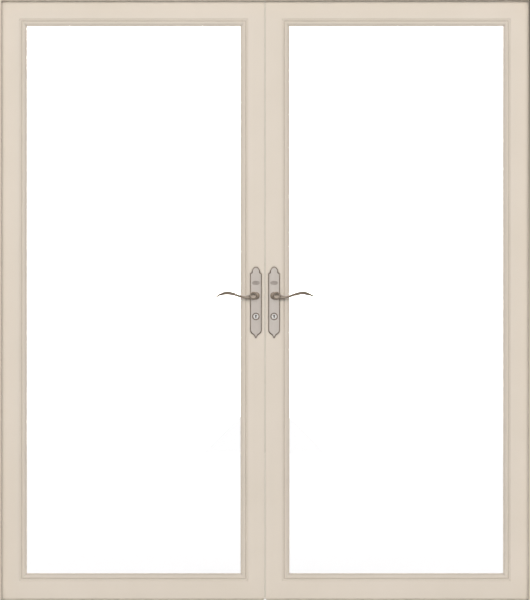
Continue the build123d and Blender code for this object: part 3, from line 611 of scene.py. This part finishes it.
LEAF_FINISHES: dict[str, Finish] = {
    "hinge_stile": POWDER_COAT,
    "lock_stile": POWDER_COAT,
    "top_rail": POWDER_COAT,
    "bottom_rail": POWDER_COAT,
    "glazing_beads": POWDER_COAT,
    "corner_keys": MILL_ALUMINIUM,
    "glass_panes": CLEAR_FLOAT,
    "spacer": SPACER_ALUMINIUM,
    "glazing_rubbers": GLAZING_RUBBER,
    "sweep": SEAL_VINYL,
    "meeting_seal": SEAL_VINYL,
    "hinge_wings": HINGE_NICKEL,
    "screws": SCREW_STEEL,
    "lock_case": ZINC_STEEL,
    "faceplate": ZINC_STEEL,
    "top_bolt": ZINC_STEEL,
    "bottom_bolt": ZINC_STEEL,
    "latch": ZINC_STEEL,
    "deadbolt": ZINC_STEEL,
    "spindle": ZINC_STEEL,
    "outer_plate": SATIN_NICKEL,
    "inner_plate": SATIN_NICKEL,
    "cylinder": BRIGHT_NICKEL,
    "key_plug": BRIGHT_NICKEL,
    "thumb_turn": SATIN_NICKEL,
    "outer_lever": SATIN_LEVER,
    "inner_lever": SATIN_LEVER,
}


class Side(Enum):
    """One of the two leaves, as seen from outside."""

    LEFT = "left"
    RIGHT = "right"


def finish_of(node: str) -> Finish:
    """The finish of a CAD node, by its own name or by its name within a leaf.

    Args:
        node: The node's full name.

    Returns:
        Its finish.
    """
    if node in NODE_FINISHES:
        return NODE_FINISHES[node]
    return LEAF_FINISHES[node.split("_", 1)[1]]


def dress_frame_nodes() -> None:
    """Gives every CAD node its finish, on its own material slots."""
    for name, node in frame["nodes"].items():
        node.data.materials.clear()
        node.data.materials.append(finish_of(name).material())


def deselect() -> None:
    """Leaves nothing selected and no mode but object mode."""
    if bpy.context.object and bpy.context.object.mode != "OBJECT":
        bpy.ops.object.mode_set(mode="OBJECT")
    bpy.ops.object.select_all(action="DESELECT")


def linked(name: str, mesh: bpy.types.Mesh) -> bpy.types.Object:
    """Puts a mesh into the scene as the one selected and active object.

    Args:
        name: Of the new object.
        mesh: Its mesh.

    Returns:
        The new object.
    """
    piece = bpy.data.objects.new(name, mesh)
    bpy.context.scene.collection.objects.link(piece)
    deselect()
    piece.select_set(True)
    bpy.context.view_layer.objects.active = piece
    return piece


@dataclass
class SoftenedNode:
    """A CAD piece taken up again with its edges broken, as a bench would leave them.

    Attributes:
        node: The CAD node that this piece is a copy of and replaces.
        edge_mm: Width of the broken edges.
        segments: Facets across a broken edge.
        sharp_degrees: Edges that turn less than this stay as they are.
        flat_degrees: Faces that turn less than this against each other are one face.
        weld_mm: Vertices that are nearer than this are one vertex.
    """

    node: str
    edge_mm: float = 0.4
    segments: int = 2
    sharp_degrees: float = 28.0
    flat_degrees: float = 0.5
    weld_mm: float = 0.01

    def build(self) -> bpy.types.Object:
        """Copies the node, merges it, breaks its edges and puts it in its place.

        Returns:
            The finished piece.
        """
        source = frame["nodes"][self.node]
        mesh = source.data.copy()
        piece = linked(f"{self.node}_finished", mesh)
        self.merge()
        bevel = piece.modifiers.new("broken_edges", "BEVEL")
        bevel.width = self.edge_mm * MM
        bevel.segments = self.segments
        bevel.limit_method = "ANGLE"
        bevel.angle_limit = math.radians(self.sharp_degrees)
        bevel.miter_outer = "MITER_ARC"
        bevel.harden_normals = False
        bpy.ops.object.modifier_apply(modifier=bevel.name)
        bpy.ops.object.shade_smooth_by_angle(angle=math.radians(self.sharp_degrees))
        even = piece.modifiers.new("even_faces", "WEIGHTED_NORMAL")
        even.keep_sharp = True
        bpy.ops.object.modifier_apply(modifier=even.name)
        finish = finish_of(self.node)
        self.paint(mesh, finish)
        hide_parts(self.node)
        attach(piece, source["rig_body"])
        return piece

    def paint(self, mesh: bpy.types.Mesh, finish: Finish) -> None:
        """Gives the whole piece one finish.

        Args:
            mesh: The finished mesh.
            finish: What the node is made of.
        """
        mesh.materials.clear()
        mesh.materials.append(finish.material())

    def merge(self) -> None:
        """Merges the loose triangles into whole faces with shared edges."""
        bpy.ops.object.mode_set(mode="EDIT")
        bpy.ops.mesh.select_all(action="SELECT")
        bpy.ops.mesh.remove_doubles(threshold=self.weld_mm * MM)
        bpy.ops.mesh.customdata_custom_splitnormals_clear()
        bpy.ops.mesh.dissolve_limited(angle_limit=math.radians(self.flat_degrees))
        bpy.ops.object.mode_set(mode="OBJECT")


@dataclass
class HandlePlate(SoftenedNode):
    """A cast plate whose oval has its own finish, with painted shade on its bevel and cylinder
    rim.

    Attributes:
        oval_rise: From the spindle up to the middle of the oval.
        oval_size: Half length and half height of the oval.
        oval_margin: How far past the oval its faces may lie, as a share of its area.
        rim_drop: From the spindle down to the cylinder.
        rim_radius: Of the raised rim round the cylinder.
        level_mm: Faces this far off the plate's own face lie on another level.
        flat_share: How squarely a face must look out to count as the plate's face.
        arch: Heights above the spindle, and the share of the CAD width kept there.
    """

    oval_rise: float = 41.9
    oval_size: tuple[float, float] = (12.6, 6.6)
    oval_margin: float = 1.05
    rim_drop: float = 67.7
    rim_radius: float = 12.4
    level_mm: float = 0.05
    flat_share: float = 0.97
    arch: tuple[tuple[float, float], ...] = (
        (76.0, 1.0),
        (79.4, 1.05),
        (82.0, 1.02),
        (87.0, 0.9),
        (91.0, 0.86),
        (94.6, 1.0),
    )
    edge_mm: float = 0.25

    @property
    def spindle_x(self) -> float:
        """Where the spindle passes through this plate, in millimetres along X."""
        return SPINDLE_FROM_MIDDLE if "right" in self.node else -SPINDLE_FROM_MIDDLE

    def merge(self) -> None:
        """Merges the triangles, then draws the arch over the plate in to a softer point."""
        super().merge()
        x0 = self.spindle_x * MM
        for vertex in bpy.context.object.data.vertices:
            share = self.arch_share(vertex.co.z / MM - SPINDLE_HEIGHT)
            vertex.co.x = x0 + (vertex.co.x - x0) * share

    def arch_share(self, rise: float) -> float:
        """How much of its CAD width the plate keeps at one height.

        Args:
            rise: That height above the spindle.

        Returns:
            The share of the width, one outside the arch.
        """
        for (low, a), (high, b) in zip(self.arch, self.arch[1:]):
            if low <= rise <= high:
                return a + (b - a) * (rise - low) / (high - low)
        return 1.0

    def paint(self, mesh: bpy.types.Mesh, finish: Finish) -> None:
        """Gives each face the finish of the region that it lies in, with painted shade on the
        bevel, the sides and the rim.

        Args:
            mesh: The finished mesh.
            finish: Of the plate's field.
        """
        edge, oval = 1, 2
        mesh.materials.clear()
        for region in (finish, NICKEL_EDGE_SHADE, BLASTED_OVAL):
            mesh.materials.append(region.material())
        outward = -1 if "outer" in self.node else 1
        field = [i for polygon in self.broad_faces(mesh) for i in polygon.vertices]
        face_y = max(outward * mesh.vertices[i].co.y for i in field)
        for polygon in mesh.polygons:
            x = polygon.center.x / MM - self.spindle_x
            z = polygon.center.z / MM - SPINDLE_HEIGHT
            flat = abs(polygon.normal.y) > self.flat_share
            sunk = (face_y - outward * polygon.center.y) / MM
            a, b = self.oval_size
            in_oval = (x / a) ** 2 + ((z - self.oval_rise) / b) ** 2 < self.oval_margin
            in_rim = math.hypot(x, z + self.rim_drop) < self.rim_radius
            if in_oval and sunk > self.level_mm:
                polygon.material_index = oval
            elif not flat or (in_rim and sunk < -self.level_mm):
                # Painted shade on the bevel, the sides and the cylinder's rim.
                polygon.material_index = edge

    def broad_faces(self, mesh: bpy.types.Mesh) -> list[bpy.types.MeshPolygon]:
        """The three largest faces that look straight out, which make up the plate's field.

        Args:
            mesh: The plate's mesh.

        Returns:
            Those faces, the largest first.
        """
        square = [p for p in mesh.polygons if abs(p.normal.y) > self.flat_share]
        square.sort(key=lambda p: p.area, reverse=True)
        return square[:3]


@dataclass
class LockCylinder(SoftenedNode):
    """The key cylinder or its plug: a bright face, with painted shade on all that lies behind it.

    Attributes:
        bright_depth: How far behind the frontmost point the bright face reaches.
    """

    bright_depth: float = 0.8
    edge_mm: float = 0.3

    def paint(self, mesh: bpy.types.Mesh, finish: Finish) -> None:
        """Paints near-black shade on all that lies behind the face.

        Args:
            mesh: The finished mesh.
            finish: Of the bright face.
        """
        mesh.materials.clear()
        mesh.materials.append(finish.material())
        mesh.materials.append(KEYWAY_SHADE.material())
        front = min(v.co.y for v in mesh.vertices)
        for polygon in mesh.polygons:
            if polygon.center.y > front + self.bright_depth * MM:
                # Painted shade, near black, behind the bright face.
                polygon.material_index = 1


@dataclass(frozen=True)
class Section:
    """One section of a form that is drawn out of a circle.

    Attributes:
        place: Its middle, in millimetres.
        across: Half its size across the leaf, or front to back in a grip.
        up: Half its height.
    """

    place: tuple[float, float, float]
    across: float
    up: float


class Facing(Enum):
    """The way that the sections of a drawn form look, as a turn of a flat circle."""

    ALONG_LEVER = (0.0, math.radians(90), 0.0)
    ALONG_SPINDLE = (math.radians(90), 0.0, 0.0)


@dataclass
class DrawnForm:
    """A closed form made by extruding a circle from section to section.

    Attributes:
        name: Of the object.
        sections: In order from one end to the other.
        facing: Which way the sections look.
        corners: Of the circle.
    """

    name: str
    sections: Sequence[Section]
    facing: Facing
    corners: int = 8

    def size(self, section: Section) -> tuple[float, float, float]:
        """The half sizes of a section along X, Y and Z, one along the way it looks.

        Args:
            section: The section.

        Returns:
            The three half sizes.
        """
        if self.facing is Facing.ALONG_LEVER:
            return 1.0, section.across, section.up
        return section.across, 1.0, section.up

    def build(self) -> bpy.types.Object:
        """Adds the circle and extrudes, moves and resizes it for each section.

        Returns:
            The closed form, its origin at the world's.
        """
        deselect()
        first = self.sections[0]
        bpy.ops.mesh.primitive_circle_add(
            vertices=self.corners,
            radius=MM,
            fill_type="NGON",
            location=[c * MM for c in first.place],
            rotation=self.facing.value,
        )
        form = bpy.context.object
        form.name = self.name
        bpy.ops.object.transform_apply(location=True, rotation=True, scale=True)
        bpy.ops.object.mode_set(mode="EDIT")
        bpy.ops.mesh.select_all(action="SELECT")
        self.resize((1.0, 1.0, 1.0), self.size(first), first)
        for last, section in zip(self.sections, self.sections[1:]):
            step = [(b - a) * MM for a, b in zip(last.place, section.place)]
            bpy.ops.mesh.extrude_region_move(TRANSFORM_OT_translate={"value": step})
            self.resize(self.size(last), self.size(section), section)
        bpy.ops.mesh.select_all(action="SELECT")
        bpy.ops.mesh.normals_make_consistent(inside=False)
        bpy.ops.object.mode_set(mode="OBJECT")
        return form

    def resize(
        self,
        old: tuple[float, float, float],
        new: tuple[float, float, float],
        section: Section,
    ) -> None:
        """Resizes what is selected about the middle of a section.

        Args:
            old: Its half sizes now.
            new: Its half sizes afterwards.
            section: The section that it becomes.
        """
        bpy.ops.transform.resize(
            value=[b / a for a, b in zip(old, new)],
            center_override=[c * MM for c in section.place],
        )


@dataclass(frozen=True)
class Station:
    """One section of a lever's grip, as the forged piece is drawn out.

    Attributes:
        out: From the spindle towards the tip.
        rise: Of the section's middle above the spindle.
        back: How far it lies behind the grip's foremost plane.
        tall: Height of the section.
        deep: Its size front to back.
        ridge: Where the ridge runs, from the lower edge (0) to the upper one (1).
        dish: How far the ridge is sunk into a hollow; negative stands out.
    """

    out: float
    rise: float
    back: float
    tall: float
    deep: float
    ridge: float
    dish: float


@dataclass
class Lever:
    """The waved lever: a ringed boss on a leaning neck, and a grip with one long ridge.

    It is modelled once, as the left leaf's outer lever, and copied for the other three.

    Attributes:
        spindle: Middle of the spindle where it leaves the plate.
        grip_depth: From the plate's face to the foremost plane of the grip's middle.
        fullness: What the sections are enlarged by, since smoothing draws them in.
        near_mm: Points that are nearer than this to a line lie on it.
        front_share: How far forward in its section a point of the ridge must lie.
        crease: How sharp the ridge and the grip's two edges stay when smoothed.
        smoothing: How often the grip's faces are split in four.
        boss_corners: Of the circle that the boss is drawn from.
        voxel_mm: Grain of the remesh that joins the boss and the grip.
        polish: How far the joined skin is evened out, and how many times.
        stations: The grip's sections, from inside the boss to the tip.
        boss_profile: The boss's rings, from its face down to the collar's foot: how far
            each lies from the spindle along X, how far out from the plate, and its radius.
    """

    spindle: tuple[float, float, float] = (-SPINDLE_FROM_MIDDLE, PLATE_FACE, SPINDLE_HEIGHT)
    grip_depth: float = 29.0
    fullness: float = 1.05
    near_mm: float = 0.02
    front_share: float = 0.75
    crease: float = 0.75
    smoothing: int = 3
    boss_corners: int = 48
    voxel_mm: float = 0.5
    polish: tuple[float, int] = (0.5, 4)
    stations: tuple[Station, ...] = (
        Station(6.0, -1.5, 1.0, 16.0, 9.0, 0.50, 0.0),
        Station(14.0, -3.0, 0.6, 16.4, 8.6, 0.50, 1.3),
        Station(20.0, -4.3, 0.2, 14.4, 8.0, 0.50, 2.0),
        Station(27.0, -5.4, -0.2, 11.4, 7.6, 0.50, 2.1),
        Station(34.0, -5.9, -0.6, 8.6, 7.4, 0.48, 1.7),
        Station(40.5, -5.3, -1.0, 7.4, 7.6, 0.46, 0.9),
        Station(47.0, -3.8, -1.5, 7.2, 7.8, 0.46, 0.0),
        Station(54.0, -1.4, -1.8, 7.9, 8.0, 0.42, -0.8),
        Station(61.0, 1.1, -2.0, 8.8, 8.0, 0.38, -1.0),
        Station(75.0, 6.3, -2.0, 10.2, 8.0, 0.36, -1.0),
        Station(91.0, 9.3, -1.5, 11.2, 8.0, 0.42, -1.0),
        Station(103.0, 8.5, -0.5, 10.4, 7.6, 0.50, -1.0),
        Station(115.0, 4.9, 0.8, 8.6, 7.0, 0.56, -0.8),
        Station(125.0, -0.4, 2.0, 6.4, 6.4, 0.54, -0.4),
        Station(130.5, -3.3, 2.8, 4.8, 5.4, 0.50, 0.0),
        Station(132.6, -4.4, 3.1, 2.4, 3.0, 0.50, 0.0),
    )
    boss_profile: tuple[tuple[float, float, float], ...] = (
        (-8.6, 34.3, 1.6),
        (-8.6, 34.4, 4.0),
        (-8.6, 34.9, 6.6),
        (-8.6, 35.5, 8.4),
        (-8.6, 35.6, 9.4),
        (-8.5, 35.0, 10.6),
        (-8.4, 33.6, 11.8),
        (-8.2, 31.2, 12.7),
        (-7.8, 28.0, 13.0),
        (-6.8, 24.0, 12.4),
        (-4.8, 19.4, 11.2),
        (-2.6, 14.8, 10.2),
        (-0.9, 9.8, 10.0),
        (0.0, 4.8, 11.0),
        (0.3, 1.6, 12.4),
        (0.3, 0.4, 12.5),
        (0.0, 0.3, 8.5),
        (0.0, -5.6, 8.4),
    )

    def build(self) -> dict[str, bpy.types.Object]:
        """Models the lever and its three copies, and puts each in its place.

        Returns:
            The four levers by their CAD node's name.
        """
        first = self.joined(self.grip(), self.boss())
        middle = self.leaf_middle()
        made = {
            "left_outer_lever": first,
            "right_outer_lever": self.mirrored(first, (-1, 1, 1), middle),
            "left_inner_lever": self.mirrored(first, (1, -1, 1), middle),
        }
        made["right_inner_lever"] = self.mirrored(made["left_inner_lever"], (-1, 1, 1), middle)
        for node, lever in made.items():
            lever.name = f"{node}_forged"
            lever.data.name = lever.name
            lever.data.materials.clear()
            lever.data.materials.append(SATIN_LEVER.material())
            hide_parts(node)
            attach(lever, frame["nodes"][node]["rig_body"])
        return made

    def leaf_middle(self) -> tuple[float, float, float]:
        """The point that the four levers lie round.

        Returns:
            The point midway between the leaves and halfway through their thickness.
        """
        low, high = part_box("left_lock_stile")
        return 0.0, (low[1] + high[1]) / 2, 0.0

    def grip(self) -> bpy.types.Object:
        """The waved grip, hollow at the neck and ridged from there to the tip.

        Returns:
            The grip, smoothed, without the boss.
        """
        x0, y0, z0 = self.spindle
        places = [(x0 - s.out, y0 - self.grip_depth + s.back, z0 + s.rise) for s in self.stations]
        sections = [
            Section(place, s.deep / 2 * self.fullness, s.tall / 2 * self.fullness)
            for place, s in zip(places, self.stations)
        ]
        grip = DrawnForm("lever_grip", sections, Facing.ALONG_LEVER).build()
        bpy.ops.object.mode_set(mode="EDIT")
        for place, station in zip(places, self.stations):
            self.move_ridge(grip, place, station)
        self.crease_ridge(grip)
        bpy.ops.object.mode_set(mode="OBJECT")
        smooth = grip.modifiers.new("drawn_out", "SUBSURF")
        smooth.levels = self.smoothing
        smooth.render_levels = self.smoothing
        bpy.ops.object.modifier_apply(modifier=smooth.name)
        return grip

    def move_ridge(
        self, grip: bpy.types.Object, place: tuple[float, float, float], station: Station
    ) -> None:
        """Moves the foremost corner of one section to where the ridge or the hollow runs.

        Args:
            grip: The grip, in edit mode.
            place: Middle of the section, in millimetres.
            station: What the section is like.
        """
        mesh = bmesh.from_edit_mesh(grip.data)
        x, y, z = (c * MM for c in place)
        near = self.near_mm / 2 * MM
        for vertex in mesh.verts:
            level = abs(vertex.co.x - x) < near and abs(vertex.co.z - z) < near
            vertex.select_set(level and vertex.co.y < y)
        mesh.select_flush_mode()
        bmesh.update_edit_mesh(grip.data)
        shift = (0.0, station.dish * MM, (station.ridge - 0.5) * station.tall * MM)
        bpy.ops.transform.translate(value=shift)

    def crease_ridge(self, grip: bpy.types.Object) -> None:
        """Creases the long edges: the ridge in front and the grip's upper and lower edges.

        Args:
            grip: The grip, in edit mode.
        """
        mesh = bmesh.from_edit_mesh(grip.data)
        mesh.edges.ensure_lookup_table()
        for edge in mesh.edges:
            a, b = (v.co for v in edge.verts)
            along = abs(a.x - b.x) > 1.0 * MM
            edge.select_set(along and self.on_line(a) and self.on_line(b))
        bmesh.update_edit_mesh(grip.data)
        bpy.ops.transform.edge_crease(value=self.crease)
        bpy.ops.mesh.select_all(action="DESELECT")

    def on_line(self, point: Vector) -> bool:
        """Whether a point is the foremost, the highest or the lowest of its section.

        Args:
            point: A corner of the grip, in metres.

        Returns:
            True on the ridge, on the upper edge and on the lower one.
        """
        x0, y0, z0 = self.spindle
        near = min(self.stations, key=lambda s: abs(x0 - s.out - point.x / MM))
        y = y0 - self.grip_depth + near.back
        z = z0 + near.rise
        half_deep = near.deep / 2 * self.fullness
        ridge_z = z + (near.ridge - 0.5) * near.tall
        edge = abs(point.z / MM - z) > near.tall / 2 * self.fullness - self.near_mm
        front = point.y / MM < y - half_deep * self.front_share + near.dish
        middle = abs(point.y / MM - y) < self.near_mm
        ridge = abs(point.z / MM - ridge_z) < self.near_mm and not middle
        return (edge and middle) or (ridge and front and near.dish <= 0)

    def boss(self) -> bpy.types.Object:
        """The round boss with its ring, leaning back to the collar on the plate.

        Returns:
            The boss, without the grip.
        """
        x0, y0, z0 = self.spindle
        sections = [
            Section((x0 + x, y0 - y, z0), radius, radius) for x, y, radius in self.boss_profile
        ]
        form = DrawnForm("lever_boss", sections, Facing.ALONG_SPINDLE, self.boss_corners)
        return form.build()

    def joined(self, grip: bpy.types.Object, boss: bpy.types.Object) -> bpy.types.Object:
        """Runs the boss and the grip into one skin and eases the joint between them.

        Args:
            grip: The grip, which takes the boss in.
            boss: The boss.

        Returns:
            The whole lever.
        """
        deselect()
        boss.select_set(True)
        grip.select_set(True)
        bpy.context.view_layer.objects.active = grip
        bpy.ops.object.join()
        skin = grip.modifiers.new("one_skin", "REMESH")
        skin.mode = "VOXEL"
        skin.voxel_size = self.voxel_mm * MM
        bpy.ops.object.modifier_apply(modifier=skin.name)
        ease = grip.modifiers.new("polished", "SMOOTH")
        ease.factor, ease.iterations = self.polish
        bpy.ops.object.modifier_apply(modifier=ease.name)
        bpy.ops.object.shade_smooth()
        return grip

    def mirrored(
        self,
        lever: bpy.types.Object,
        flip: tuple[int, int, int],
        middle: tuple[float, float, float],
    ) -> bpy.types.Object:
        """A copy of a lever with its own mesh, mirrored about a point.

        Args:
            lever: The lever to copy.
            flip: Minus one for each axis to mirror.
            middle: The point that stays put.

        Returns:
            The mirrored copy.
        """
        copy = linked(lever.name, lever.data.copy())
        bpy.ops.object.mode_set(mode="EDIT")
        bpy.ops.mesh.select_all(action="SELECT")
        bpy.ops.transform.resize(value=flip, center_override=middle)
        bpy.ops.mesh.normals_make_consistent(inside=False)
        bpy.ops.object.mode_set(mode="OBJECT")
        return copy


@dataclass
class Studio:
    """The camera, the floor, the backdrop and the lamps.

    Attributes:
        distance: From the camera to the leaves' outer face.
        height: Of the camera above the floor.
        sensor_mm: Width of the camera's sensor.
        far_end: How far the camera sees.
        sun_strength: Of each of the two soft key lights.
        sun_azimuth: Of each key light, from straight in front, in degrees.
        sun_elevation: Of the key lights, in degrees.
        sun_width: How wide each key light looks from the object, in degrees.
        sun_colour: Of the key lights.
        sky_strength: Of the even light from all round.
        sky_colour: Of that light.
        wing_strength: How bright a mirror sees the studio's sides, next to its front.
        wing_edge: How squarely out a mirror must look to see more than the sides.
        front_edge: How squarely out it must look to see the front at its full strength.
        floor_colour: Of the floor.
        floor_glow: What the floor adds to the light on it, so that it is white.
        floor_size: Of the floor's sides.
        floor_drop: From the object's foot down to the floor.
    """

    distance: float = 30.0
    height: float = 0.9975
    sensor_mm: float = 36.0
    far_end: float = 200.0
    sun_strength: float = 1.2
    sun_azimuth: float = 8.0
    sun_elevation: float = 7.0
    sun_width: float = 22.0
    sun_colour: str = "#FFFCF6"
    sky_strength: float = 0.22
    sky_colour: str = "#FBFAFF"
    wing_strength: float = 0.3
    wing_edge: float = 0.45
    front_edge: float = 0.88
    floor_colour: str = "#F2F1EF"
    floor_glow: float = 0.8
    floor_size: float = 60.0
    floor_drop: float = 0.0005

    def camera(self) -> None:
        """Looks straight at the doors from outside, with the photograph's framing."""
        lens = bpy.data.cameras.new("camera")
        lens.sensor_width = self.sensor_mm
        lens.lens = lens.sensor_width * self.distance / (PHOTO_MILLIMETRES * MM)
        lens.clip_end = self.far_end
        camera = bpy.data.objects.new("camera", lens)
        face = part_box("left_lock_stile")[0][1]
        camera.location = (0.0, face - self.distance, self.height)
        camera.rotation_euler = (math.radians(90), 0.0, 0.0)
        bpy.context.scene.collection.objects.link(camera)
        bpy.context.scene.camera = camera

    def seen_directly(self, tree: bpy.types.NodeTree) -> bpy.types.NodeSocket:
        """One for what the camera sees straight, in a mirror or through glass.

        Args:
            tree: The node tree that needs the value.

        Returns:
            A socket that is one for those rays and zero for the others.
        """
        path = add_node(tree, "ShaderNodeLightPath")
        both = add_node(
            tree,
            "ShaderNodeMath",
            {"operation": "ADD", "use_clamp": True},
            {0: path.outputs["Is Camera Ray"], 1: path.outputs["Is Glossy Ray"]},
        )
        return add_node(
            tree,
            "ShaderNodeMath",
            {"operation": "ADD", "use_clamp": True},
            {0: both.outputs[0], 1: path.outputs["Is Transmission Ray"]},
        ).outputs[0]

    def mirrored(self, tree: bpy.types.NodeTree) -> bpy.types.NodeSocket:
        """One for what metal reflects, and not for what is seen through glass.

        Args:
            tree: The node tree that needs the value.

        Returns:
            A socket that is one for reflected rays and zero for the others.
        """
        path = add_node(tree, "ShaderNodeLightPath")
        return add_node(
            tree,
            "ShaderNodeMath",
            {"operation": "SUBTRACT", "use_clamp": True},
            {0: path.outputs["Is Glossy Ray"], 1: path.outputs["Is Transmission Ray"]},
        ).outputs[0]

    def backdrop(self) -> None:
        """A white background that lights the object as an even, slightly cool sky."""
        world = bpy.data.worlds.new("studio")
        bpy.context.scene.world = world
        world.use_nodes = True
        tree = world.node_tree
        tree.nodes.clear()
        sky = add_node(
            tree,
            "ShaderNodeBackground",
            {"Color": linear(self.sky_colour), "Strength": self.sky_strength},
        )
        white = add_node(
            tree,
            "ShaderNodeBackground",
            {"Color": (1, 1, 1, 1)},
            {"Strength": self.front_light(tree)},
        )
        mix = add_node(
            tree,
            "ShaderNodeMixShader",
            links={0: self.seen_directly(tree), 1: sky.outputs[0], 2: white.outputs[0]},
        )
        add_node(tree, "ShaderNodeOutputWorld", links={"Surface": mix.outputs[0]})

    def front_light(self, tree: bpy.types.NodeTree) -> bpy.types.NodeSocket:
        """White for the camera, and for metal a studio that is white in front and behind.

        A mirror sees the studio's sides, ceiling and corners darker, which gives plated
        metal its dark outlines.

        Args:
            tree: The world's node tree.

        Returns:
            A socket with the strength of the white.
        """
        way = add_node(tree, "ShaderNodeTexCoord").outputs["Generated"]
        parts = add_node(tree, "ShaderNodeSeparateXYZ", links={0: way})
        square = add_node(
            tree, "ShaderNodeMath", {"operation": "ABSOLUTE"}, {0: parts.outputs["Y"]}
        ).outputs[0]
        studio = add_node(
            tree,
            "ShaderNodeMapRange",
            {
                "From Min": self.wing_edge,
                "From Max": self.front_edge,
                "To Min": self.wing_strength,
                "To Max": 1.0,
            },
            {"Value": square},
        ).outputs["Result"]
        return add_node(
            tree,
            "ShaderNodeMapRange",
            {"To Min": 1.0},
            {"Value": self.mirrored(tree), "To Max": studio},
        ).outputs["Result"]

    def lamps(self) -> None:
        """Two broad suns in front, one from each side, as the photograph's even light."""
        for name, side in (("left_key", -1), ("right_key", 1)):
            lamp = bpy.data.lights.new(name, "SUN")
            lamp.energy = self.sun_strength
            lamp.angle = math.radians(self.sun_width)
            lamp.color = linear(self.sun_colour)[:3]
            key = bpy.data.objects.new(name, lamp)
            key.visible_glossy = False
            turn = math.radians(self.sun_azimuth) * side
            lift = math.radians(self.sun_elevation)
            level = math.cos(lift)
            way = (math.sin(turn) * level, -math.cos(turn) * level, math.sin(lift))
            key.rotation_euler = Vector(way).to_track_quat("Z", "Y").to_euler()
            bpy.context.scene.collection.objects.link(key)

    def floor(self) -> None:
        """A pale floor that keeps the object's shadow and is white where it is lit."""
        deselect()
        under = (0.0, 0.0, -self.floor_drop)
        bpy.ops.mesh.primitive_plane_add(size=self.floor_size, location=under)
        floor = bpy.context.object
        floor.name = "floor"
        bpy.ops.object.transform_apply(location=True)
        matte = bpy.data.materials.new("pale_studio_floor")
        matte.use_nodes = True
        tree = matte.node_tree
        tree.nodes.clear()
        paper = add_node(tree, "ShaderNodeBsdfDiffuse", {"Color": linear(self.floor_colour)})
        glow = add_node(tree, "ShaderNodeEmission", {"Strength": self.floor_glow})
        dark = add_node(tree, "ShaderNodeEmission", {"Strength": 0.0})
        seen = add_node(
            tree,
            "ShaderNodeMixShader",
            links={0: self.seen_directly(tree), 1: dark.outputs[0], 2: glow.outputs[0]},
        )
        total = add_node(
            tree, "ShaderNodeAddShader", links={0: paper.outputs[0], 1: seen.outputs[0]}
        )
        dim = add_node(tree, "ShaderNodeEmission", {"Strength": self.wing_strength})
        laid = add_node(
            tree,
            "ShaderNodeMixShader",
            links={0: self.mirrored(tree), 1: total.outputs[0], 2: dim.outputs[0]},
        )
        add_node(tree, "ShaderNodeOutputMaterial", links={"Surface": laid.outputs[0]})
        floor.data.materials.append(matte)

    def build(self) -> None:
        """Sets up the whole studio."""
        bpy.context.scene.view_settings.view_transform = "Standard"
        self.camera()
        self.backdrop()
        self.lamps()
        self.floor()


SOFTENED_FRAME = (
    "frame_jamb_left",
    "frame_jamb_right",
    "frame_head",
    "frame_stops",
    "frame_sill",
)

# The frame's edges are broken wider than those of the leaves' extruded bars.
FRAME_EDGE = 0.6

SOFTENED_LEAF = ("hinge_stile", "lock_stile", "top_rail", "bottom_rail", "glazing_beads")


def report(piece: bpy.types.Object) -> None:
    """Logs one finished piece.

    Args:
        piece: The piece.
    """
    LOG.info("%s has %d faces", piece.name, len(piece.data.polygons))


def main() -> None:
    """Builds the studio and every piece, and reports each one."""
    logging.basicConfig(level=logging.INFO, format="%(name)s: %(message)s")
    Studio().build()
    LOG.info("studio ready")
    dress_frame_nodes()
    for node in SOFTENED_FRAME:
        report(SoftenedNode(node, edge_mm=FRAME_EDGE).build())
    for side in Side:
        for name in SOFTENED_LEAF:
            report(SoftenedNode(f"{side.value}_{name}").build())
        for name in ("outer_plate", "inner_plate"):
            report(HandlePlate(f"{side.value}_{name}").build())
        for name in ("cylinder", "key_plug"):
            report(LockCylinder(f"{side.value}_{name}").build())
    for lever in Lever().build().values():
        report(lever)


if __name__ == "__main__":
    main()
